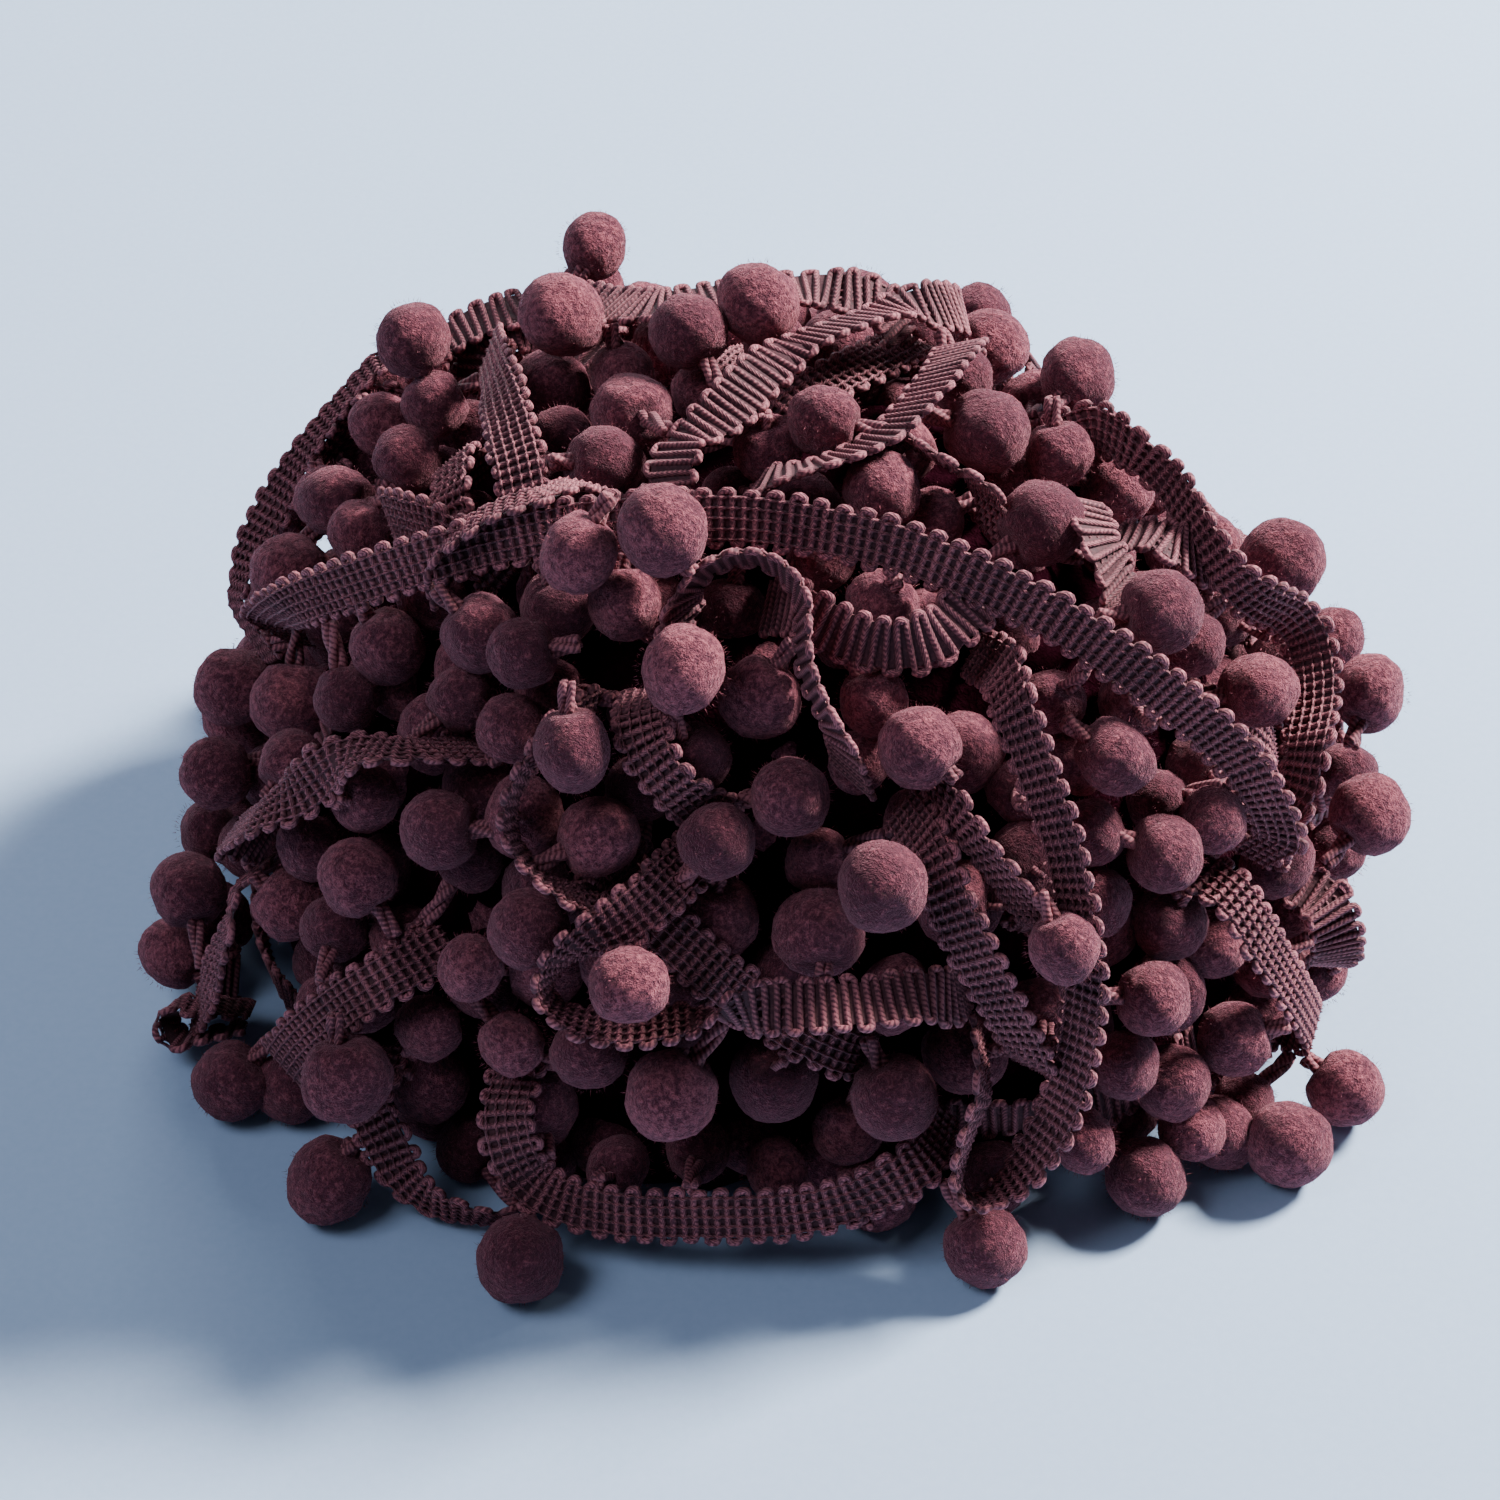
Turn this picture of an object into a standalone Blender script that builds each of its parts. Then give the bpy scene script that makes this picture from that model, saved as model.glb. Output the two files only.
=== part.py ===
"""Pompom fringe trim, one long length wound and tumbled into a loose dome-shaped heap.

Metres, +Z up.  The heap rests on z = 0, with its flat underside there, and the
origin is the middle of the base.  +X is the long way across, +Y runs to the back.

Pieces
  wound_heap       the wound mass of the trim: dome, pompom lumps, hollows and furrows
  braid_*          the outermost runs of the woven braid, each a thin flat strip
  pompom_*         the pompoms that stand proud of the mass or rest on the surface
"""
import math
from collections import namedtuple

import bmesh
import bpy
import numpy as np
from mathutils import Vector

MM = 0.001

# ------------------------------------------------------------------ named sizes
HALF_RIGHT = 72.0 * MM      # dome, middle to outside, along +X
HALF_LEFT = 72.0 * MM       # along -X
HALF_BACK = 64.0 * MM       # along +Y
HALF_FRONT = 63.0 * MM      # along -Y
HEIGHT = 82.0 * MM          # crown of the dome
FULLNESS = 2.25             # 2 is an ellipsoid, more is a squarer shoulder
PLAN_FULLNESS = 2.40        # the same for the outline seen from above
TUCK_HEIGHT = 11.0 * MM     # the mass draws in below this height
TUCK = 0.050                # by this share of its half width at z = 0
CENTRE_X = 1.57 * MM        # dome axis, so that the base's middle is the origin
CENTRE_Y = 0.475 * MM

BRAID_WIDTH = 6.8 * MM      # woven braid across
BRAID_THICK = 1.2 * MM
BRAID_STEP = 5.0 * MM       # length of strip between two sections
POMPOM = 10.0 * MM          # pompom across
GAP = 0.3 * MM              # least space between two pieces
SAG = 1.1 * MM              # more space under a strip or ball, for the facets

SINK = 4.4 * MM             # mass between the lumps, below the dome's surface
LUMPS = 230                 # pompoms that show as lumps of the mass
LUMP_ROUND = 5.9 * MM       # radius of a lump, a pompom bedded in its neighbours
LUMP_CLEAR = 6.0 * MM       # no lump nearer than this to a strip or a ball
GOLDEN = math.pi * (3.0 - math.sqrt(5.0))

WINE = (0.155, 0.045, 0.055, 1.0)
WINE_DARK = (0.055, 0.018, 0.024, 1.0)
WINE_BRAID = (0.190, 0.060, 0.068, 1.0)

# ------------------------------------------------------------------ the heap's broad form
# az: degrees round from +X towards +Y.  el: degrees up.  spread: degrees.
# rise: millimetres, a swelling above 0 and a hollow below.
Form = namedtuple("Form", "az el spread rise")
FORMS = [
    Form(272, 46, 9, -6.5),     # hollow in the middle of the front
    Form(276, 21, 8, -6.5),     # hollow low in the front, over the bottom band
    Form(312, 49, 7, -5.5),     # hollow beside the hanging loop
    Form(228, 60, 6, -4.0),     # furrow under the front band
    Form(312, 75, 6, -5.0),     # pit on the crown
    Form(215, 80, 6, -4.5),
    Form(22, 54, 17, -4.0),     # right shoulder falls away
    Form(205, 14, 12, 2.0),     # left foot swells
    Form(322, 18, 12, 2.0),     # right foot swells
    Form(100, 38, 8, -4.5),
    Form(120, 20, 12, 2.0),
    Form(150, 62, 9, -1.5),
]

# ------------------------------------------------------------------ outer runs of braid
# A row for each bend: az and el as above, lift in millimetres from the dome's
# surface to the middle of the strip, turn in degrees about the run's own line:
# 0 lies flat on the dome, 90 stands on its edge.
Bend = namedtuple("Bend", "az el lift turn")
RUNS = {
    "braid_front_band": [
        Bend(181.6, 36.8, -2.4, -95), Bend(190.3, 42.6, -1.0, -68), Bend(194.9, 45.9, -0.5, -49),
        Bend(201.1, 50.6, -0.4, -43), Bend(206.6, 54.9, -0.5, -38), Bend(211.3, 58, -0.4, -31),
        Bend(215.9, 61, -0.5, -30), Bend(221.5, 63.7, -0.5, -29), Bend(231.6, 67.4, -0.6, -27),
        Bend(251.2, 70.7, -0.6, -26), Bend(266.4, 71.3, -0.6, -29), Bend(281.3, 70.1, -0.6, -35),
        Bend(294.5, 67.4, -0.5, -41), Bend(305.2, 62.7, -0.4, -45), Bend(312.4, 58, -0.5, -49),
        Bend(317.6, 52.8, -0.5, -53), Bend(322.5, 46.4, -0.5, -56), Bend(325.9, 41, -0.4, -63),
        Bend(327.9, 35.8, -0.5, -73), Bend(330.1, 30.7, -2.1, -83)],
    "braid_left_edge": [
        Bend(151.5, 49.3, 2.7, 28), Bend(155.3, 46.1, 2.3, 27), Bend(159.6, 42.3, 2.0, 33),
        Bend(162.6, 39.1, 1.6, 45), Bend(165, 36.4, 1.3, 52), Bend(167.4, 33.9, 1.4, 42),
        Bend(169.4, 31.7, 1.0, 26), Bend(170.8, 30, 0.4, 19)],
    "braid_crown_left": [
        Bend(147.3, 58.6, -3.2, -40), Bend(165.5, 65.1, -1.6, -32), Bend(179.3, 67.2, -0.7, -14),
        Bend(193.3, 67.7, -0.5, 4), Bend(205, 67, -0.8, 10), Bend(212.8, 65.5, -2.7, 7)],
    "braid_top_back": [
        Bend(147.3, 52.2, -0.2, -45), Bend(143.7, 54.4, 0.4, -47), Bend(139, 57, 0.0, -49),
        Bend(133.1, 59.7, -1.0, -38), Bend(136.8, 69, -1.9, -21), Bend(140.1, 75.7, -0.5, -16),
        Bend(124.6, 78.6, -0.5, -16), Bend(98.7, 79.2, -0.5, -17), Bend(78.8, 78.2, -0.6, -27),
        Bend(64.6, 77.7, -0.5, -40), Bend(54.8, 75.5, -2.0, -52)],
    "braid_top_ridge": [
        Bend(240.5, 71.9, -2.6, 7), Bend(236.8, 74.3, -1.0, 11), Bend(234.7, 76.9, -0.7, 22),
        Bend(238, 79.2, -0.5, -2), Bend(241.4, 82, -0.4, -23), Bend(242.2, 85.3, -0.4, -24),
        Bend(259.5, 88.7, -0.3, -9), Bend(28, 88.1, -0.0, 14), Bend(37.5, 84, -0.1, 19),
        Bend(39.1, 79.9, -0.1, 15), Bend(40, 76.9, -0.1, -9), Bend(37.8, 74.4, -0.3, -40),
        Bend(42.1, 69.6, -2.0, -47)],
    "braid_crown_hook": [
        Bend(21, 74.4, -2.1, -34), Bend(359.9, 77.1, -0.7, -40), Bend(341.8, 78, -0.6, -41),
        Bend(324.2, 78, -0.6, -42), Bend(310.5, 77.5, -0.7, -41), Bend(298.9, 77.2, -1.0, -44),
        Bend(287, 76.8, -0.9, -47), Bend(276.7, 76.6, -1.4, -45), Bend(266, 76.4, -2.5, -36)],
    "braid_right_shoulder": [
        Bend(1.3, 63.2, -2.6, -110), Bend(354.6, 60.9, -0.6, -105), Bend(352.3, 57.5, -0.4, -105),
        Bend(347, 54.4, -0.2, -104), Bend(343.7, 50.8, -0.1, -95), Bend(344.7, 46.6, 0.1, -75),
        Bend(349.4, 41.9, 0.3, -70), Bend(349.7, 38.3, 0.2, -84), Bend(344.8, 36.2, -0.1, -82),
        Bend(338.5, 34.8, -0.4, -89), Bend(335.6, 31.8, -2.1, -97)],
    "braid_centre_ring": [
        Bend(252.4, 64.4, -1.8, -88), Bend(254.6, 66, -0.7, -94), Bend(258.1, 67.2, -0.3, -96),
        Bend(262.9, 67.8, -0.1, -95), Bend(268, 67.4, 0.0, -92), Bend(271.9, 66, 0.0, -86),
        Bend(273.7, 64, 0.1, -80), Bend(273.4, 61.7, -0.0, -78), Bend(273.7, 59.5, -0.4, -79),
        Bend(275.1, 57.2, -0.6, -80), Bend(277, 55, -0.8, -81), Bend(278.7, 53.3, -2.4, -76)],
    "braid_right_loop": [
        Bend(304.7, 56.4, -4.4, -68), Bend(302.8, 54.3, -2.2, -66), Bend(301.8, 52.7, -0.8, -59),
        Bend(301.7, 49.2, -0.5, -58), Bend(301.8, 45.4, -0.3, -60), Bend(302.1, 41.6, -0.1, -63),
        Bend(301.9, 37.8, 0.2, -66), Bend(301.8, 33.9, 0.2, -67), Bend(301.6, 29.8, 0.1, -68),
        Bend(300.7, 25.7, 0.0, -68), Bend(299.5, 21.6, 0.1, -68), Bend(297.7, 17.3, 0.4, -68),
        Bend(295.2, 13.6, 0.8, -74), Bend(292.6, 10.5, 1.2, -96), Bend(290.1, 9.2, 1.5, -119),
        Bend(288.1, 10.3, 1.5, -92), Bend(287.7, 13.2, 0.9, -62), Bend(288.8, 16.8, 0.3, -54),
        Bend(290.8, 20.3, -1.2, -47)],
    "braid_mid_slant": [
        Bend(288.3, 44, -3.4, -39), Bend(289, 39.8, -1.3, -39), Bend(290.5, 35.5, -0.8, -40),
        Bend(292.5, 31, -1.0, -43), Bend(294.4, 26.9, -1.6, -50), Bend(296.5, 22.5, -2.8, -61)],
    "braid_mid_band": [
        Bend(252.1, 40.3, -5.0, 9), Bend(256.4, 37.8, -3.6, 14), Bend(260.5, 35.3, -4.0, 20),
        Bend(264.4, 32.3, -5.9, 21), Bend(269.4, 29.3, -6.7, 16), Bend(274.3, 26.9, -5.6, 11),
        Bend(278.2, 24.9, -6.4, 12)],
    "braid_left_drop": [
        Bend(239.2, 50.8, -2.4, 81), Bend(238.6, 48.1, -0.7, 93), Bend(238.2, 45.3, 0.0, 99),
        Bend(238.9, 42.7, 0.3, 102), Bend(241.6, 40.6, 0.3, 101), Bend(244.6, 39.3, -0.2, 98),
        Bend(247, 38.7, -1.8, 92), Bend(248.4, 38.5, -3.8, 90)],
    "braid_left_ring": [
        Bend(256.5, 41.3, -2.2, -1), Bend(255, 39.5, -0.4, 2), Bend(252.5, 37.5, 0.2, 16),
        Bend(249.3, 35.5, 0.6, 45), Bend(246.9, 33.3, 0.8, 70), Bend(246, 30.7, 0.9, 91),
        Bend(247.4, 28.8, 1.0, 96), Bend(250.8, 28.1, 0.8, 79), Bend(254.8, 28.4, 0.6, 67),
        Bend(258.9, 29.4, 0.5, 68), Bend(262.1, 29.9, 0.3, 88), Bend(264.5, 30.3, 0.5, 127),
        Bend(267.1, 31.2, 0.7, 177), Bend(270.5, 31.6, 0.8, 212), Bend(275.2, 31.6, 0.3, 225),
        Bend(280.3, 31.5, -0.5, 228), Bend(285.2, 31.5, -1.4, 223), Bend(288.9, 30.3, -3.6, 212)],
    "braid_centre_tab": [
        Bend(250.1, 54.5, -2.6, 9), Bend(252, 52.6, -1.0, -1), Bend(254, 51, -0.4, -15),
        Bend(256.4, 49.6, -0.6, -22), Bend(258.7, 48.8, -2.4, -17)],
    "braid_low_band": [
        Bend(241.9, 15.2, -2.4, 18), Bend(243.3, 12.2, -0.9, 27), Bend(245, 8.4, -1.3, 37),
        Bend(248.9, 6.7, -1.1, 26), Bend(255, 6.9, -0.2, 19), Bend(263, 7.5, -0.0, 18),
        Bend(271, 8.1, -0.0, 18), Bend(277.1, 9.3, -0.4, 11), Bend(281.6, 11.6, -0.6, 12),
        Bend(285.2, 12.7, -2.4, 22)],
    "braid_left_foot": [
        Bend(228, 25.1, -2.3, -4), Bend(225.6, 22, -0.6, 1), Bend(222.3, 17.9, -0.6, 6),
        Bend(219.1, 13.5, -0.9, 9), Bend(215.4, 8.4, -2.4, 12)],
    "braid_left_rise": [
        Bend(223.2, 44.6, -2.4, -62), Bend(220.5, 43.1, -0.7, -58), Bend(217.1, 41.1, -0.4, -28),
        Bend(214.8, 38.5, -0.4, 13), Bend(213.1, 35.7, -0.1, 4), Bend(210.9, 33.2, 0.3, -27),
        Bend(207.9, 30.1, 0.3, -42), Bend(200.8, 24.3, -2.0, -39)],
    "braid_right_foot": [
        Bend(321.6, 29.2, -2.3, 1), Bend(322.2, 25, -0.7, 8), Bend(324.6, 19.7, -0.6, 11),
        Bend(327.2, 14.8, -0.8, 11), Bend(331.7, 8.4, -2.2, 9)],
    "braid_back_high": [
        Bend(50, 51, -5.4, 0), Bend(68, 51, -1.6, -10), Bend(88, 50, -0.4, -10),
        Bend(106, 46, -0.4, -5), Bend(122, 42, -0.6, 0), Bend(134, 39.5, -2.2, 0)],
    "braid_back_low": [
        Bend(36, 19, -2.2, 0), Bend(50, 13.0, -0.4, 0), Bend(68, 9.6, -0.4, 0),
        Bend(88, 9.4, -0.2, 0), Bend(106, 11.5, -0.2, 0), Bend(120, 17, -2.2, 0)],
    "braid_back_cross": [
        Bend(25, 31.5, -5.4, 10), Bend(36, 31.5, -3.6, 15), Bend(49, 32.5, -1.4, 20),
        Bend(62, 36, -0.4, 10), Bend(76, 39.5, -0.6, 0), Bend(88, 41, -2.2, 0)],
    "braid_back_slant": [
        Bend(4, 12, -2.2, 0), Bend(12, 18, -0.4, 10), Bend(24, 23, -0.2, 30),
        Bend(40, 24, -0.2, 30), Bend(56, 21.5, -0.6, 10), Bend(67, 19, -2.2, 0)],
    "braid_back_drop": [
        Bend(160, 41, -2.2, 10), Bend(152, 36, -0.4, 15), Bend(148, 28.5, -0.2, 40),
        Bend(151, 20.5, -0.2, 20), Bend(158, 13, -0.4, 0), Bend(165, 9, -1.8, 0)],
    "braid_back_mid": [
        Bend(92, 31, -2.2, 0), Bend(102, 27, -0.4, 5), Bend(114, 25.5, -0.4, 15),
        Bend(126, 27.5, -0.6, 10), Bend(136, 31, -2.2, 0)],
}

# ------------------------------------------------------------------ pompoms that stand proud
# lift: millimetres from the dome's surface to the ball's middle.
# long: how much longer the ball is along its neck than across.
Ball = namedtuple("Ball", "name az el lift size long")
BALLS = [
    Ball("pompom_crown_back", 123.5, 61, 3.9, 8.6, 1.00),
    Ball("pompom_crown_left", 155, 70.5, 1.0, 9.8, 1.04),
    Ball("pompom_shoulder_left", 157, 56.5, 3.4, 9.2, 1.03),
    Ball("pompom_left_high", 185, 30.5, -1.4, 9.4, 1.00),
    Ball("pompom_left_mid", 190, 24.0, -1.6, 8.6, 1.02),
    Ball("pompom_left_low", 194, 13.0, 0.4, 9.2, 1.00),
    Ball("pompom_left_foot", 194, 5.6, 2.2, 8.8, 1.02),
    Ball("pompom_front_left_foot", 211, 4.0, 1.2, 9.4, 1.00),
    Ball("pompom_front_left_toe", 227, 4.0, 3.8, 9.8, 1.04),
    Ball("pompom_front_toe", 246.8, 4.0, 6.1, 9.8, 1.03),
    Ball("pompom_loop_toe", 290, 4.0, 2.2, 9.2, 1.02),
    Ball("pompom_front_right_toe", 308.5, 4.0, -2.6, 9.6, 1.00),
    Ball("pompom_right_toe", 321, 4.0, 3.2, 9.8, 1.02),
    Ball("pompom_right_foot", 330, 4.0, 3.2, 9.2, 1.00),
    Ball("pompom_right_low", 346, 22.5, 1.4, 9.6, 1.03),
    Ball("pompom_right_mid", 356, 28.5, 3.0, 9.4, 1.04),
    Ball("pompom_right_shoulder", 3, 41.0, -0.8, 9.8, 1.06),
    Ball("pompom_crown_right", 17, 63.5, -2.4, 9.2, 1.02),
    Ball("pompom_over_band", 248.8, 66.5, 5.6, 9.8, 1.05),
    Ball("pompom_front_face", 281.2, 41.6, 1.8, 9.8, 1.03),
    Ball("pompom_front_low", 259, 21.5, -1.0, 10.2, 1.02),
    Ball("pompom_back_right_foot", 24, 4.0, 1.8, 9.6, 1.00),
    Ball("pompom_back_foot", 62, 4.0, 6.2, 9.4, 1.00),
    Ball("pompom_back_left_foot", 128, 4.0, 1.4, 9.4, 1.03),
    Ball("pompom_back_low", 88, 18.0, 1.2, 9.6, 1.00),
    Ball("pompom_back_high", 76, 60.5, -4.4, 9.6, 1.04),
    Ball("pompom_back_shoulder", 116, 35.0, 1.0, 9.4, 1.00),
    Ball("pompom_back_left_low", 140, 14.0, 1.0, 9.4, 1.02),
]


# ------------------------------------------------------------------ the dome
def half_width(cos_az, sin_az):
    """Plan radius of the dome at a bearing."""
    across = np.where(cos_az > 0.0, HALF_RIGHT, HALF_LEFT)
    deep = np.where(sin_az > 0.0, HALF_BACK, HALF_FRONT)
    return ((np.abs(cos_az) / across) ** PLAN_FULLNESS
            + (np.abs(sin_az) / deep) ** PLAN_FULLNESS) ** (-1.0 / PLAN_FULLNESS)


def plan_bearing(direction):
    """Cosine and sine of each direction's azimuth; straight up counts as +X."""
    flat = np.hypot(direction[:, 0], direction[:, 1])
    upright = flat < 1e-6
    safe = np.where(upright, 1.0, flat)
    return np.where(upright, 1.0, direction[:, 0] / safe), direction[:, 1] / safe


def dome_radius(direction):
    """Distance from the middle of the base to the dome along unit directions."""
    flat = np.maximum(np.hypot(direction[:, 0], direction[:, 1]), 1e-9)
    east, north = plan_bearing(direction)
    wide = half_width(east, north)
    up = np.maximum(direction[:, 2], 0.0)
    return ((flat / wide) ** FULLNESS + (up / HEIGHT) ** FULLNESS) ** (-1.0 / FULLNESS)


def bearing(az, el):
    """Unit vector at an azimuth and an elevation in degrees."""
    a, e = math.radians(az), math.radians(el)
    return np.array([math.cos(e) * math.cos(a), math.cos(e) * math.sin(a), math.sin(e)])


def on_dome(az, el, lift):
    """Point at a bearing, lift metres outside the dome's surface."""
    u = bearing(az, el)
    return u * (dome_radius(u[None, :])[0] + lift)


def outward(point):
    """Outward normal of the dome near a point."""
    across = HALF_RIGHT if point[0] > 0 else HALF_LEFT
    deep = HALF_BACK if point[1] > 0 else HALF_FRONT
    n = np.array([point[0] / across ** 2, point[1] / deep ** 2, max(point[2], 0.0) / HEIGHT ** 2])
    return n / np.linalg.norm(n)


# ------------------------------------------------------------------ runs of braid
def smooth_run(bends):
    """Catmull-Rom line through the bends, resampled at even steps.

    Gives middle points, run directions and unit vectors across the strip.
    """
    keys = np.array([np.append(on_dome(b.az, b.el, b.lift * MM), math.radians(b.turn))
                     for b in bends])
    keys = np.vstack([2 * keys[0] - keys[1], keys, 2 * keys[-1] - keys[-2]])
    fine = []
    for i in range(1, len(keys) - 2):
        p0, p1, p2, p3 = keys[i - 1:i + 3]
        for t in np.linspace(0.0, 1.0, 24, endpoint=False):
            fine.append(0.5 * (2 * p1 + (p2 - p0) * t + (2 * p0 - 5 * p1 + 4 * p2 - p3) * t ** 2
                               + (3 * p1 - p0 - 3 * p2 + p3) * t ** 3))
    fine.append(keys[-2])
    fine = np.array(fine)
    span = np.append(0.0, np.cumsum(np.linalg.norm(np.diff(fine[:, :3], axis=0), axis=1)))
    count = max(3, int(round(span[-1] / BRAID_STEP)) + 1)
    even = np.linspace(0.0, span[-1], count)
    rows = np.stack([np.interp(even, span, fine[:, k]) for k in range(4)], axis=1)
    middle, turn = rows[:, :3], rows[:, 3]
    along = np.gradient(middle, axis=0)
    along /= np.linalg.norm(along, axis=1)[:, None]
    across = []
    for point, line, angle in zip(middle, along, turn):
        n = outward(point)
        n = n - line * n.dot(line)
        n /= np.linalg.norm(n)
        w = np.cross(line, n)
        across.append(w * math.cos(angle) + n * math.sin(angle))
    return middle, along, np.array(across)


def strip_mesh(name, middle, across):
    """Open strip two points wide along a run."""
    bm = bmesh.new()
    edge = BRAID_WIDTH / 2
    rails = [[bm.verts.new(Vector(p + side * edge * w)) for p, w in zip(middle, across)]
             for side in (-1.0, 1.0)]
    for i in range(len(middle) - 1):
        bm.faces.new((rails[0][i], rails[0][i + 1], rails[1][i + 1], rails[1][i]))
    mesh = bpy.data.meshes.new(name)
    bm.to_mesh(mesh)
    bm.free()
    return mesh


# ------------------------------------------------------------------ the mass
def lump_centres(taken):
    """Pompom lumps spread evenly over the dome, clear of strips and proud balls."""
    rng = np.random.default_rng(11)
    spots = []
    for i in range(LUMPS):
        height = 0.995 - 0.955 * (i + 0.5) / LUMPS
        el = math.degrees(math.asin(height)) + rng.uniform(-2.0, 2.0)
        az = math.degrees(i * GOLDEN) + rng.uniform(-3.0, 3.0)
        low = rng.uniform(0.0, 1.6)
        centre = on_dome(az, max(el, 3.6), -(LUMP_ROUND + low * MM))
        if np.min(np.linalg.norm(taken - centre, axis=1)) > LUMP_CLEAR:
            spots.append(centre)
    return np.array(spots)


def mass_radius(direction, strips, balls, lumps):
    """Radius of the mass along unit directions: dome, forms, lumps, then furrows."""
    radius = dome_radius(direction)
    for form in FORMS:
        facing = np.clip(direction @ bearing(form.az, form.el), -1.0, 1.0)
        swell = np.exp(-(np.degrees(np.arccos(facing)) / form.spread) ** 2)
        radius = radius + form.rise * MM * swell
    radius = radius - SINK
    for centre in lumps:
        ahead = direction @ centre
        aside = np.linalg.norm(centre - direction * ahead[:, None], axis=1)
        crown = ahead + np.sqrt(np.maximum(LUMP_ROUND ** 2 - aside ** 2, 0.0))
        radius = np.where((aside < LUMP_ROUND) & (ahead > 0), np.maximum(radius, crown), radius)
    for point in strips:
        ahead = direction @ point
        aside = np.linalg.norm(point - direction * ahead[:, None], axis=1)
        floor = ahead - BRAID_THICK / 2 - GAP - SAG + (aside / 3.0) ** 2 / MM
        radius = np.where((aside < 9 * MM) & (ahead > 0), np.minimum(radius, floor), radius)
    for centre, size in balls:
        ahead = direction @ centre
        aside = np.linalg.norm(centre - direction * ahead[:, None], axis=1)
        floor = ahead - size - GAP - SAG + aside ** 2 / (1.75 * size)
        radius = np.where((aside < 13 * MM) & (ahead > 0), np.minimum(radius, floor), radius)
    return radius


def heap_mesh(strips, balls, lumps):
    """The mass: an icosphere drawn over the dome, with its underside laid flat."""
    bm = bmesh.new()
    bmesh.ops.create_icosphere(bm, subdivisions=5, radius=1.0)
    unit = np.array([v.co[:] for v in bm.verts])
    polar = np.degrees(np.arccos(np.clip(unit[:, 2], -1.0, 1.0)))
    level = 118.0                                   # polar angle that becomes z = 0
    up = np.radians(np.maximum(90.0 - polar * 90.0 / level, 0.0))
    east, north = plan_bearing(unit)
    direction = np.stack([np.cos(up) * east, np.cos(up) * north, np.sin(up)], axis=1)
    radius = mass_radius(direction, strips, balls, lumps)
    place = direction * radius[:, None]
    low = np.clip(1.0 - place[:, 2] / TUCK_HEIGHT, 0.0, 1.0)
    place[:, :2] *= (1.0 - TUCK * low ** 2)[:, None]
    below = polar > level
    shrink = np.clip((180.0 - polar) / (180.0 - level), 0.0, 1.0)
    rim = half_width(east, north) - SINK - 0.8 * MM
    rim = rim * (1.0 - TUCK)
    under = rim * shrink
    place[below] = np.stack([under * east, under * north, np.zeros_like(under)], axis=1)[below]
    place[:, 2] = np.maximum(place[:, 2], 0.0)
    for vert, spot in zip(bm.verts, place):
        vert.co = Vector(spot)
    bmesh.ops.recalc_face_normals(bm, faces=bm.faces)
    mesh = bpy.data.meshes.new("wound_heap")
    bm.to_mesh(mesh)
    bm.free()
    return mesh


def ball_mesh(name, size, long, neck):
    """Felted ball, a little longer along its neck."""
    bm = bmesh.new()
    bmesh.ops.create_icosphere(bm, subdivisions=2, radius=size / 2)
    turn = Vector((0, 0, 1)).rotation_difference(Vector(neck)).to_matrix().to_4x4()
    for vert in bm.verts:
        vert.co.z *= long
    bmesh.ops.transform(bm, matrix=turn, verts=bm.verts)
    mesh = bpy.data.meshes.new(name)
    bm.to_mesh(mesh)
    bm.free()
    return mesh


# ------------------------------------------------------------------ scene
def material(name, colour, roughness):
    mat = bpy.data.materials.new(name)
    mat.use_nodes = True
    shader = mat.node_tree.nodes["Principled BSDF"]
    shader.inputs["Base Color"].default_value = colour
    shader.inputs["Roughness"].default_value = roughness
    shader.inputs["Metallic"].default_value = 0.0
    mat.diffuse_color = colour
    return mat


def add(collection, name, mesh, mat, place=(0.0, 0.0, 0.0)):
    obj = bpy.data.objects.new(name, mesh)
    obj.location = Vector(place) + Vector((CENTRE_X, CENTRE_Y, 0.0))
    mesh.materials.append(mat)
    collection.objects.link(obj)
    return obj


def main():
    for obj in list(bpy.data.objects):
        bpy.data.objects.remove(obj, do_unlink=True)
    scene = bpy.context.scene
    scene.unit_settings.system = "METRIC"
    scene.unit_settings.scale_length = 1.0
    parts = bpy.data.collections.new("pompom_fringe_trim")
    scene.collection.children.link(parts)

    felt = material("pompom_felt", WINE, 0.95)
    mass = material("wound_trim", WINE_DARK, 0.95)
    braid = material("woven_braid", WINE_BRAID, 0.85)

    strips = []
    for name, bends in RUNS.items():
        middle, along, across = smooth_run(bends)
        obj = add(parts, name, strip_mesh(name, middle, across), braid)
        shell = obj.modifiers.new("Thickness", "SOLIDIFY")
        shell.thickness = BRAID_THICK
        shell.offset = 0.0
        for share in np.linspace(-1.0, 1.0, 5):
            rail = middle + across * share * BRAID_WIDTH / 2
            strips.append(rail)
            strips.append((rail[:-1] + rail[1:]) / 2)
    strips = np.vstack(strips)

    balls = []
    for row in BALLS:
        radius = row.size / 2 * MM
        centre = on_dome(row.az, row.el, row.lift * MM)
        centre[2] = max(centre[2], radius * row.long)
        neck = -outward(centre)
        neck[2] = abs(neck[2]) + 0.3
        neck /= np.linalg.norm(neck)
        balls.append((centre, radius * row.long))
        obj = add(parts, row.name, ball_mesh(row.name, 2 * radius, row.long, neck), felt, centre)
        obj.data.shade_smooth()

    taken = np.vstack([strips, np.array([c for c, _ in balls])])
    lumps = lump_centres(taken)
    add(parts, "wound_heap", heap_mesh(strips, balls, lumps), mass)


main()
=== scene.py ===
"""Pompom fringe trim wound and tumbled into a dome-shaped heap: the looks.

Metres, +Z up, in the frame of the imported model.  The outer runs of braid and the
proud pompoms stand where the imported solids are, each as woven cord and cut pile.
"""
import math
from collections import namedtuple

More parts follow.
